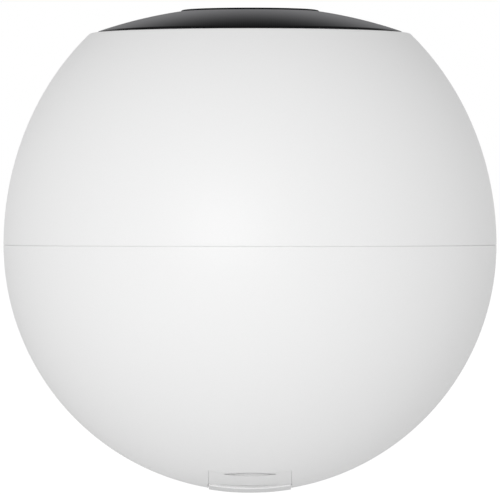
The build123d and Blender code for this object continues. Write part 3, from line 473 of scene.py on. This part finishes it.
def apply_modifier(piece: bpy.types.Object, kind: str, **settings: object) -> None:
    """Adds a modifier with its settings and applies it.

    Args:
        piece: The object to change.
        kind: The modifier's type name.
        **settings: Its properties by name.
    """
    choose(piece)
    modifier = piece.modifiers.new(kind.title(), kind)
    for name, value in settings.items():
        setattr(modifier, name, value)
    bpy.ops.object.modifier_apply(modifier=modifier.name)


class Cut(Enum):
    """How one solid works on another."""

    TAKE_AWAY = "DIFFERENCE"
    KEEP_COMMON = "INTERSECT"
    JOIN = "UNION"


def combine(piece: bpy.types.Object, how: Cut, others: Iterable[bpy.types.Object]) -> bpy.types.Object:
    """Works other solids on a piece one by one, and removes them.

    Args:
        piece: The object to change.
        how: What the others do to it.
        others: The other solids.

    Returns:
        The changed piece.
    """
    for other in others:
        apply_modifier(piece, "BOOLEAN", operation=how.value, solver="EXACT", object=other)
        bpy.data.objects.remove(other, do_unlink=True)
    return close_up(piece)


def soften(piece: bpy.types.Object, width: float) -> bpy.types.Object:
    """Rounds every sharp edge of a piece.

    Args:
        piece: The object to change.
        width: Width of the rounding in millimetres.

    Returns:
        The changed piece.
    """
    apply_modifier(piece, "BEVEL", width=width * MM, segments=2, limit_method="ANGLE",
                   angle_limit=math.radians(40), use_clamp_overlap=True)
    return close_up(piece, 50.0)


def hand_over(piece: bpy.types.Object, body: str, node: str,
              material: bpy.types.Material) -> None:
    """Gives a finished piece its finish and its place in the frame.

    Args:
        piece: The finished object.
        body: The CAD body that it rides on.
        node: The CAD node that it stands for.
        material: Its finish.
    """
    piece.data.materials.clear()
    piece.data.materials.append(material)
    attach(piece, body)
    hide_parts(node)
    LOG.info("%s: %d faces, stands for %s", piece.name, len(piece.data.polygons), node)


# ------------------------------------------------------------------ shells
GROOVE_SHARE = 0.9        # of the half reveal: the upper shell's step stays off the lower shell
SKIN_REACH = (0.9, 1.1)   # cutters of the skin start and end at these shares of the radius
CUT_BELOW = 2.0           # how far the foot's cutter starts below the ball
CUT_TALL = 12.0           # and how tall it is


@dataclass(frozen=True)
class Ball:
    """The form that every shell piece shares, in millimetres about its centre.

    Attributes:
        radius: The ball below the seam, and the foot of the taller half above it.
        height: How tall the upper half would be if it closed.
        wall: Thickness of both shells.
        proud: How far the foot stands out.
        foot_flat: Radius of the flat that the speaker stands on.
    """

    radius: float = 50.0
    height: float = 56.35
    wall: float = 2.2
    proud: float = 0.3
    foot_flat: float = 4.5

    def sight(self, degrees: float, radius: float, across: float = 0.0) -> Vector:
        """Point at an angle below the horizontal towards the front.

        Args:
            degrees: The angle.
            radius: Distance from the centre.
            across: Distance to the side.

        Returns:
            The point.
        """
        angle = math.radians(degrees)
        return Vector((across, -radius * math.cos(angle), -radius * math.sin(angle)))

    def solid(self, name: str, radius: float, lift: Point = (0.0, 0.0)) -> bpy.types.Object:
        """Full sphere, for cutting.

        Args:
            name: Name of the piece.
            radius: Its radius.
            lift: How far it moves to the front and down.

        Returns:
            The new object.
        """
        piece = turned(name, arc((0.0, 0.0), (radius, radius), -90, 90, 96))
        choose(piece)
        bpy.ops.transform.translate(value=(0.0, lift[0] * MM, lift[1] * MM))
        bpy.ops.object.transform_apply(location=True, rotation=True, scale=True)
        return piece


@dataclass
class UpperShell:
    """Upper half of the white shell, with the mouth for the grille and the four screw posts.

    Attributes:
        ball: The shared form.
        mouth_r: Radius of the mouth.
        rim_z: Height of the flat rim.
        rim_round: Rounding outside the rim.
        lip_round: Rounding inside the rim.
        ledge_r: Inner edge of the ledge for the grille.
        ledge_top: Height of the ledge.
        ledge_t: Its thickness.
        seam_round: Rounding at the seam.
        seam_depth: Depth of the open groove at the seam.
        tongue: Inner and outer radius of the tongue inside the lower shell.
        tongue_depth: How far the tongue reaches down.
        post: Radius of a screw post and its distance from the axis.
        post_low: Height of the underside of the posts.
    """

    ball: Ball
    mouth_r: float = 31.3
    rim_z: float = 42.88
    rim_round: float = 0.9
    lip_round: float = 0.25
    ledge_r: float = 27.2
    ledge_top: float = 40.0
    ledge_t: float = 1.5
    seam_round: float = 0.05
    seam_depth: float = 0.2
    tongue: Point = (46.45, 47.65)
    tongue_depth: float = 3.0
    post: Point = (3.2, 40.0)
    post_low: float = -0.5

    def rim_start(self) -> tuple[float, float]:
        """Finds where the rim's rounding leaves the ball.

        Returns:
            The angle on the ellipse in degrees, and the radius of the rounding's centre.
        """
        low, high = 20.0, 80.0
        across = 0.0
        for _ in range(40):
            middle = (low + high) / 2
            t = math.radians(middle)
            lean = Vector((math.cos(t) / self.ball.radius, math.sin(t) / self.ball.height)).normalized()
            across = self.ball.radius * math.cos(t) - self.rim_round * lean.x
            up = self.ball.height * math.sin(t) - self.rim_round * lean.y
            low, high = (middle, high) if up < self.rim_z - self.rim_round else (low, middle)
        return low, across

    def outline(self) -> list[Point]:
        """Draws the cross-section, from the seam up the outside and back down the inside."""
        form = self.ball
        inner = (form.radius - form.wall, form.height - form.wall)
        edge = self.seam_round
        start = math.degrees(math.asin((HALF_SEAM + edge) / form.height))
        end, across = self.rim_start()
        t = math.radians(end)
        lean = math.degrees(math.atan2(math.sin(t) / form.height, math.cos(t) / form.radius))
        ledge_low = self.ledge_top - self.ledge_t
        inside = [math.degrees(math.asin(z / inner[1])) for z in (ledge_low, self.tongue_depth)]
        low, high = self.tongue
        lip = self.lip_round
        groove_low = -HALF_SEAM * GROOVE_SHARE
        return (arc((form.radius - edge, HALF_SEAM + edge), (edge, edge), -90, 0, 4)
                + arc((0, 0), (form.radius, form.height), start, end, 64)[1:]
                + arc((across, self.rim_z - self.rim_round), (self.rim_round,) * 2, lean, 90, 6)[1:]
                + arc((self.mouth_r + lip, self.rim_z - lip), (lip, lip), 90, 180, 4)
                + [(self.mouth_r, self.ledge_top), (self.ledge_r, self.ledge_top),
                   (self.ledge_r, ledge_low)]
                + arc((0, 0), inner, inside[0], inside[1], 24)
                + [(low, self.tongue_depth), (low, -self.tongue_depth), (high, -self.tongue_depth),
                   (high, groove_low), (form.radius - self.seam_depth, groove_low),
                   (form.radius - self.seam_depth, HALF_SEAM)])

    def build(self) -> bpy.types.Object:
        """Turns the shell and joins the screw posts to it.

        Returns:
            The finished object.
        """
        shell = turned("shell_upper", self.outline())
        radius, at = self.post
        sink = self.ball.wall / 4
        inner = (self.ball.radius - self.ball.wall, self.ball.height - self.ball.wall)
        reach = (inner[0] + sink, inner[1] + sink)
        posts = []
        for turn in QUARTERS:
            angle = math.radians(turn)
            foot = Vector((at * math.cos(angle), at * math.sin(angle), self.post_low))
            post = rod("post", radius, foot, Vector((0, 0, self.ledge_top)), 32)
            inside = turned("inside", arc((0, 0), reach, -90, 90, 48), 96)
            posts.append(combine(post, Cut.KEEP_COMMON, [inside]))
        return combine(shell, Cut.JOIN, posts)


@dataclass
class PortCover:
    """Small hinged cover over the service socket, and the space that it shuts.

    Attributes:
        ball: The shared form.
        width: Width of the cover.
        top_deg: Angle of its top edge below the horizontal.
        pivot_deg: Angle of its hinge line.
        pivot_r: Distance of the hinge line from the ball's centre.
        thick: Its thickness.
        proud: How far it stands out at its hinge.
        side_gap: Gap beside it.
        back_gap: Gap behind it and round its nose.
        top_gap_deg: Gap above it, as an angle.
        pin_r: Radius of the hole for the pin.
        nail: Width and height of the nail notch.
        nail_deg: Angle of the notch.
        nail_depth: Depth of the notch.
        edge_round: Rounding of its edges.
    """

    ball: Ball
    width: float = 16.6
    top_deg: float = 65.6
    pivot_deg: float = 73.8
    pivot_r: float = 48.3
    thick: float = 1.6
    proud: float = 0.12
    side_gap: float = 0.04
    back_gap: float = 0.3
    top_gap_deg: float = 0.12
    pin_r: float = 0.55
    nail: Point = (10.6, 0.75)
    nail_deg: float = 65.85
    nail_depth: float = 1.8
    edge_round: float = 0.05

    @property
    def pivot(self) -> Vector:
        """Middle of the hinge line."""
        return self.ball.sight(self.pivot_deg, self.pivot_r)

    @property
    def nose(self) -> float:
        """Radius of the rounded end about the hinge line."""
        return self.ball.radius + self.proud - self.pivot_r

    def plate(self, name: str, start_deg: float, inner_r: float, grow: float) -> bpy.types.Object:
        """Slice of a thick spherical skin between two rays.

        Args:
            name: Name of the piece.
            start_deg: Angle of the upper ray.
            inner_r: Radius of its inner face.
            grow: Extra width at each side.

        Returns:
            The new object.
        """
        half = self.width / 2 + grow
        near, far = (self.ball.radius * share for share in SKIN_REACH)
        sight = self.ball.sight
        corners = [sight(start_deg, near, -half), sight(start_deg, far, -half),
                   sight(self.pivot_deg, far, -half), sight(self.pivot_deg, near, -half)]
        slab = prism(name, corners, Vector((2 * half, 0, 0)))
        return combine(slab, Cut.TAKE_AWAY, [self.ball.solid("inside", inner_r)])

    def across(self, name: str, radius: float, grow: float) -> bpy.types.Object:
        """Cylinder along the hinge line.

        Args:
            name: Name of the piece.
            radius: Its radius.
            grow: Extra length at each end.

        Returns:
            The new object.
        """
        half = self.width / 2 + grow
        return rod(name, radius, self.pivot - Vector((half, 0, 0)), Vector((2 * half, 0, 0)))

    def notch(self) -> bpy.types.Object:
        """Level lens-shaped cutter for the nail notch."""
        wide, high = self.nail
        bow = ((wide / 2) ** 2 + (high / 2) ** 2) / high
        reach = math.degrees(math.asin(wide / 2 / bow))
        shift = bow - high / 2
        upper = arc((0, -shift), (bow, bow), 90 - reach, 90 + reach, 24)
        lower = arc((0, shift), (bow, bow), 270 - reach, 270 + reach, 24)
        seat = self.ball.sight(self.nail_deg, self.ball.radius) + Vector((0, self.nail_depth, 0))
        corners = [seat + Vector((x, 0, y)) for x, y in upper + lower[1:-1]]
        return prism("notch", corners, Vector((0, -3 * self.nail_depth, 0)))

    def space(self) -> list[bpy.types.Object]:
        """Cutters for the recess that the cover shuts, and its nail notch."""
        inner = self.ball.radius + self.proud - self.thick - self.back_gap
        room = self.plate("room", self.top_deg - self.top_gap_deg, inner, self.side_gap)
        return [room, self.across("room", self.nose + self.back_gap, self.side_gap), self.notch()]

    def build(self) -> bpy.types.Object:
        """Shapes the cover: flush at its top edge, a little proud at its hinge."""
        inner = self.ball.radius + self.proud - self.thick
        cover = self.plate("cover_port", self.top_deg, inner, 0.0)
        combine(cover, Cut.JOIN, [self.across("nose", self.nose, 0.0)])
        rise = self.proud / math.sin(math.radians(self.pivot_deg - self.top_deg))
        top = math.radians(self.top_deg)
        tilt = (rise * math.sin(top), -rise * math.cos(top))
        combine(cover, Cut.KEEP_COMMON, [self.ball.solid("outside", self.ball.radius, tilt)])
        combine(cover, Cut.TAKE_AWAY, [self.notch()])
        soften(cover, self.edge_round)
        return combine(cover, Cut.TAKE_AWAY, [self.across("bore", self.pin_r, 1.0)])


@dataclass
class FootPad:
    """Soft pad behind the cover, with the small flat that the speaker stands on.

    Attributes:
        ball: The shared form.
        cover: The cover in front of it, whose width it shares.
        rear: How far back it reaches.
        corner: Radius of its rear corners.
        depth: Depth of its seat in the shell.
        fit: Gap round it in the shell.
        edge_round: Rounding of its edges.
    """

    ball: Ball
    cover: PortCover
    rear: float = 9.0
    corner: float = 3.5
    depth: float = 0.8
    fit: float = 0.15
    edge_round: float = 0.25

    def area(self, name: str, grow: float) -> bpy.types.Object:
        """Upright block with the outline of the pad.

        Args:
            name: Name of the piece.
            grow: Extra size on each side.

        Returns:
            The new object.
        """
        half = self.cover.width / 2 + grow
        front = self.cover.pivot.y + self.cover.nose + self.cover.back_gap - grow
        rear = self.rear + grow
        inset = half - self.corner
        left = arc((-inset, rear - self.corner), (self.corner, self.corner), 180, 90, 8)
        right = arc((inset, rear - self.corner), (self.corner, self.corner), 90, 0, 8)
        deep = -self.ball.radius - CUT_BELOW
        corners = [(-half, front)] + left + right + [(half, front)]
        return prism(name, [Vector((x, y, deep)) for x, y in corners], Vector((0, 0, CUT_TALL)))

    def seat(self) -> bpy.types.Object:
        """Cutter for the pad's seat in the lower shell."""
        return combine(self.area("seat", self.fit), Cut.TAKE_AWAY,
                       [self.ball.solid("inside", self.ball.radius - self.depth)])

    def build(self) -> bpy.types.Object:
        """Shapes the pad between two spheres and flattens its middle."""
        outer = self.ball.radius + self.ball.proud
        inner = self.ball.radius - self.depth
        flat = math.degrees(math.acos(self.ball.foot_flat / outer))
        skin = turned("pad_foot", arc((0, 0), (inner, inner), -90, -60, 24)
                      + arc((0, 0), (outer, outer), -60, -flat, 24) + [(0, -EQUATOR / MM)])
        combine(skin, Cut.KEEP_COMMON, [self.area("area", 0.0)])
        return soften(skin, self.edge_round)


@dataclass
class LowerShell:
    """Lower half of the white shell, with its floor, its seats and its openings.

    Attributes:
        ball: The shared form.
        cover: The port cover, which cuts its recess.
        pad: The foot pad, which cuts its seat.
        floor_z: Height of the flat floor inside.
        seal: Inner radius, top and bottom of the ledge under the seam seal.
        groove_r: Radius of the groove for the upper shell's tongue.
        seam_round: Rounding at the seam.
        inlet: Radius of the hole for the power plug, and its height.
        socket: Width, height and place to the front of the hole for the service socket.
        screw: Shank hole, head hole and distance from the axis of the foot screws.
        screw_seat: Height of the seat of their heads.
        boss: Radius, distance to the side and top of the two posts for the service board.
    """

    ball: Ball
    cover: PortCover
    pad: FootPad
    floor_z: float = -43.5
    seal: tuple[float, float, float] = (45.4, -3.6, -5.2)
    groove_r: float = 47.8
    seam_round: float = 0.08
    inlet: Point = (4.2, -12.6)
    socket: tuple[float, float, float] = (9.34, 3.66, -17.35)
    screw: tuple[float, float, float] = (1.4, 2.35, 5.5)
    screw_seat: float = -47.0
    boss: tuple[float, float, float] = (1.6, 6.6, -37.355)

    def outline(self) -> list[Point]:
        """Draws the cross-section, from the seam down the outside and back up the inside."""
        radius, edge = self.ball.radius, self.seam_round
        inner = radius - self.ball.wall
        start = math.degrees(math.asin((HALF_SEAM + edge) / radius))
        floor = math.degrees(math.asin(self.floor_z / inner))
        seal_r, seal_top, seal_low = self.seal
        ledge = math.degrees(math.asin(seal_low / inner))
        return (arc((radius - edge, -HALF_SEAM - edge), (edge, edge), 90, 0, 4)
                + arc((0, 0), (radius, radius), -start, -90, 96)[1:]
                + [(0, self.floor_z)]
                + arc((0, 0), (inner, inner), floor, ledge, 32)
                + [(seal_r, seal_low), (seal_r, seal_top), (self.groove_r, seal_top),
                   (self.groove_r, -HALF_SEAM)])

    def holes(self) -> list[bpy.types.Object]:
        """Cutters for the inlet, the service socket and the foot screws."""
        radius, height = self.inlet
        cutters = [rod("inlet", radius, Vector((0, self.ball.radius - 6, height)), Vector((0, 12, 0)))]
        wide, high, front = self.socket
        round_r = high / 2
        inset = wide / 2 - round_r
        ends = (arc((inset, front), (round_r, round_r), -90, 90, 12)
                + arc((-inset, front), (round_r, round_r), 90, 270, 12))
        deep = self.floor_z - 4
        cutters.append(prism("socket", [Vector((x, y, deep)) for x, y in ends], Vector((0, 0, 6))))
        shank, head, at = self.screw
        for turn in THIRDS:
            angle = math.radians(turn)
            start = Vector((at * math.cos(angle), at * math.sin(angle), -self.ball.radius - 1))
            cutters.append(rod("shank", shank, start, Vector((0, 0, 8.5)), 32))
            cutters.append(rod("head", head, start, Vector((0, 0, self.screw_seat - start.z)), 32))
        return cutters

    def build(self) -> bpy.types.Object:
        """Turns the shell, joins the posts, and cuts its seats and holes."""
        shell = turned("shell_lower", self.outline())
        radius, side, top = self.boss
        front = self.socket[2]
        posts = [rod("boss", radius, Vector((x, front, self.floor_z - 1)),
                     Vector((0, 0, top - self.floor_z + 1)), 32) for x in (-side, side)]
        combine(shell, Cut.JOIN, posts)
        return combine(shell, Cut.TAKE_AWAY, self.cover.space() + [self.pad.seat()] + self.holes())

    def dress(self) -> None:
        """Builds both shells, the port cover and the foot pad, and gives them their finishes."""
        white = SHELL_WHITE.make()
        hand_over(self.build(), "body", "lower_shell", white)
        hand_over(UpperShell(self.ball).build(), "body", "upper_shell", white)
        hand_over(self.cover.build(), "cover", "port_cover", COVER_WHITE.make())
        hand_over(self.pad.build(), "body", "foot_pad", FOOT_GREY.make())


# ------------------------------------------------------------------ top
@dataclass
class Top:
    """Cloth dome and the button in its middle.

    Attributes:
        dome_r: Radius of the dome's outer face.
        edge_r: Where the cloth turns down into the mouth.
        edge_z: Height of that edge.
        cloth_t: Thickness of the cloth.
        wrap: How far the cloth runs down the frame.
        turn_round: Rounding where it turns down.
        hole_r: Hole for the button.
        button_r: Radius of the button.
        button_proud: How far it stands above the dome at its edge.
        button_t: Thickness of its disc.
        button_round: Width and height of the rounding of its edge.
        guide: Inner and outer radius of its guide ring, and its length.
        nub: Radius and lowest height of the nub over the switch.
        port: Radius of a microphone hole and its distance from the axis.
    """

    dome_r: float = 95.0
    edge_r: float = 31.0
    edge_z: float = 43.18
    cloth_t: float = 0.5
    wrap: float = 1.6
    turn_round: float = 0.3
    hole_r: float = 14.35
    button_r: float = 14.0
    button_proud: float = 0.32
    button_t: float = 1.4
    button_round: Point = (0.8, 0.25)
    guide: tuple[float, float, float] = (10.7, 11.8, 1.8)
    nub: Point = (1.6, 45.2)
    port: Point = (0.4, 8.5)

    @property
    def centre(self) -> float:
        """Height of the dome's centre."""
        return self.edge_z - math.sqrt(self.dome_r ** 2 - self.edge_r ** 2)

    def lean(self, radius: float, at: float) -> float:
        """Angle on the dome at a distance from the axis, in degrees."""
        return math.degrees(math.acos(at / radius))

    def cloth(self) -> bpy.types.Object:
        """Turns the stretched cloth, folded down round the frame."""
        outer, inner = self.dome_r, self.dome_r - self.cloth_t
        bend = self.turn_round
        start = self.edge_r - bend
        edge = arc((start, self.edge_z - bend * 0.7), (bend, bend * 0.8), 70, 0, 5)
        low = self.edge_z - self.wrap
        inside_r = self.edge_r - self.cloth_t
        outline = (arc((0, self.centre), (outer, outer), self.lean(outer, self.hole_r),
                       self.lean(outer, start), 24) + edge
                   + [(self.edge_r, low), (inside_r, low)]
                   + arc((0, self.centre), (inner, inner), self.lean(inner, inside_r),
                         self.lean(inner, self.hole_r), 24))
        return turned("cloth_dome", outline)

    def button(self) -> bpy.types.Object:
        """Turns the button and drills its microphone holes."""
        high = self.centre + math.sqrt(self.dome_r ** 2 - self.button_r ** 2) + self.button_proud
        low = high - self.button_t
        inner, outer, length = self.guide
        nub_r, nub_low = self.nub
        wide, tall = self.button_round
        outline = ([(0, nub_low), (nub_r, nub_low), (nub_r, low), (inner, low), (inner, low - length),
                    (outer, low - length), (outer, low), (self.button_r, low)]
                   + arc((self.button_r - wide, high - tall), (wide, tall), 0, 90, 8) + [(0, high)])
        disc = turned("button_top", outline, 128)
        radius, at = self.port
        drills = []
        for turn in QUARTERS:
            angle = math.radians(turn)
            start = Vector((at * math.cos(angle), at * math.sin(angle), low - 1))
            drills.append(rod("drill", radius, start, Vector((0, 0, self.button_t + 2)), 24))
        return combine(disc, Cut.TAKE_AWAY, drills)

    def dress(self) -> None:
        """Builds the cloth and the button and gives them their finishes."""
        hand_over(self.cloth(), "body", "grille_cloth", CLOTH_BLACK.make())
        hand_over(self.button(), "button", "action_button", BUTTON_BLACK.make())


# ------------------------------------------------------------------ inside
@dataclass
class Inside:
    """Everything that keeps its CAD mesh: the drive unit, boards, ballast and fasteners.

    Attributes:
        finishes: Finish by the record's slot name.
    """

    finishes: dict[str, Finish]

    def dress(self) -> None:
        """Gives every CAD node that stays the finish of its slot."""
        slots = {part["node"]: part["material_slot"] for part in frame["record"]["subparts"]}
        made = {name: finish.make() for name, finish in self.finishes.items()}
        count = 0
        for node, thing in frame["nodes"].items():
            if slots[node] in made:
                thing.data.materials.clear()
                thing.data.materials.append(made[slots[node]])
                count += 1
        LOG.info("%d inner nodes dressed in %d finishes", count, len(made))


# ------------------------------------------------------------------ studio
@dataclass
class Studio:
    """Pale floor, even white room, one large soft lamp at the front left, and the camera.

    Attributes:
        distance: Camera to the speaker's axis, in metres.
        above: Camera above the seam, in metres.
        lens: Focal length in millimetres.
        drop: How far the view is tipped down, in degrees.
        room: Strength of the room's light at the horizon.
        zenith: Its strength straight above.
        lamp_power: Power of the lamp in watts.
        lamp_place: Where the lamp stands.
        lamp_size: Its width in metres.
        floor_size: Width of the floor.
        floor_glow: Its own light, on other things and to the camera.
        paper: Grey of its paper.
        clip: How far the camera sees.
    """

    distance: float = 1.08
    above: float = 0.007
    lens: float = 383.0
    drop: float = 0.40
    room: float = 0.96
    zenith: float = 0.34
    lamp_power: float = 13.2
    lamp_place: tuple[float, float, float] = (-0.27, -1.38, 0.02)
    lamp_size: float = 0.8
    floor_size: float = 12.0
    floor_glow: Point = (0.48, 0.88)
    paper: float = 0.3
    clip: float = 20.0

    def camera(self) -> None:
        """Places the camera just above the seam, looking almost level."""
        data = bpy.data.cameras.new("camera")
        data.lens = self.lens
        data.clip_end = self.clip
        thing = bpy.data.objects.new("camera", data)
        thing.location = (0.0, -self.distance, EQUATOR + self.above)
        thing.rotation_euler = (math.radians(90.0 - self.drop), 0.0, 0.0)
        bpy.context.scene.collection.objects.link(thing)
        bpy.context.scene.camera = thing

    def lights(self) -> None:
        """Sets the even room and the soft lamp."""
        world = bpy.data.worlds.new("white_room")
        bpy.context.scene.world = world
        world.use_nodes = True
        tree = world.node_tree
        tree.nodes.clear()
        seen = add(tree, "ShaderNodeLightPath").outputs["Is Camera Ray"]
        way = add(tree, "ShaderNodeTexCoord").outputs["Generated"]
        level = add(tree, "ShaderNodeSeparateXYZ", Vector=way).outputs["Z"]
        walls = add(tree, "ShaderNodeMapRange", Value=level, From_Min=0.0, From_Max=1.0,
                    To_Min=self.room, To_Max=self.zenith).outputs["Result"]
        strength = add(tree, "ShaderNodeMapRange", Value=seen, To_Min=walls, To_Max=1.0)
        room = add(tree, "ShaderNodeBackground", Color=(1.0, 1.0, 1.0, 1.0),
                   Strength=strength.outputs["Result"])
        add(tree, "ShaderNodeOutputWorld", Surface=room.outputs["Background"])
        lamp = bpy.data.lights.new("soft_lamp", "AREA")
        lamp.energy = self.lamp_power
        lamp.size = self.lamp_size
        thing = bpy.data.objects.new("soft_lamp", lamp)
        thing.location = self.lamp_place
        aim = Vector((0.0, 0.0, EQUATOR)) - Vector(self.lamp_place)
        thing.rotation_euler = aim.to_track_quat("-Z", "Y").to_euler()
        bpy.context.scene.collection.objects.link(thing)

    def floor(self) -> None:
        """Lays the pale floor."""
        clear_selection()
        bpy.ops.mesh.primitive_plane_add(size=self.floor_size)
        floor = bpy.context.object
        floor.name = "floor"
        material = bpy.data.materials.new("white_paper_roll")
        material.use_nodes = True
        tree = material.node_tree
        tree.nodes.clear()
        seen = add(tree, "ShaderNodeLightPath").outputs["Is Camera Ray"]
        low, high = self.floor_glow
        own = add(tree, "ShaderNodeMapRange", Value=seen, To_Min=low, To_Max=high)
        glow = add(tree, "ShaderNodeEmission", Color=(1.0, 1.0, 1.0, 1.0), Strength=own.outputs["Result"])
        paper = add(tree, "ShaderNodeBsdfDiffuse", Color=(self.paper,) * 3 + (1.0,))
        both = add(tree, "ShaderNodeAddShader")
        tree.links.new(glow.outputs["Emission"], both.inputs[0])
        tree.links.new(paper.outputs["BSDF"], both.inputs[1])
        add(tree, "ShaderNodeOutputMaterial", Surface=both.outputs["Shader"])
        floor.data.materials.append(material)

    def set_up(self) -> None:
        """Sets the camera, the lights and the floor."""
        self.camera()
        self.lights()
        self.floor()
        bpy.context.scene.view_settings.view_transform = "Standard"
        LOG.info("studio ready")


def main() -> None:
    """Builds the speaker's pieces, dresses them and sets the studio."""
    logging.basicConfig(level=logging.INFO, format="%(name)s: %(message)s")
    ball = Ball()
    cover = PortCover(ball)
    Inside(HIDDEN_FINISHES).dress()
    LowerShell(ball, cover, FootPad(ball, cover)).dress()
    Top().dress()
    Studio().set_up()


if __name__ == "__main__":
    main()
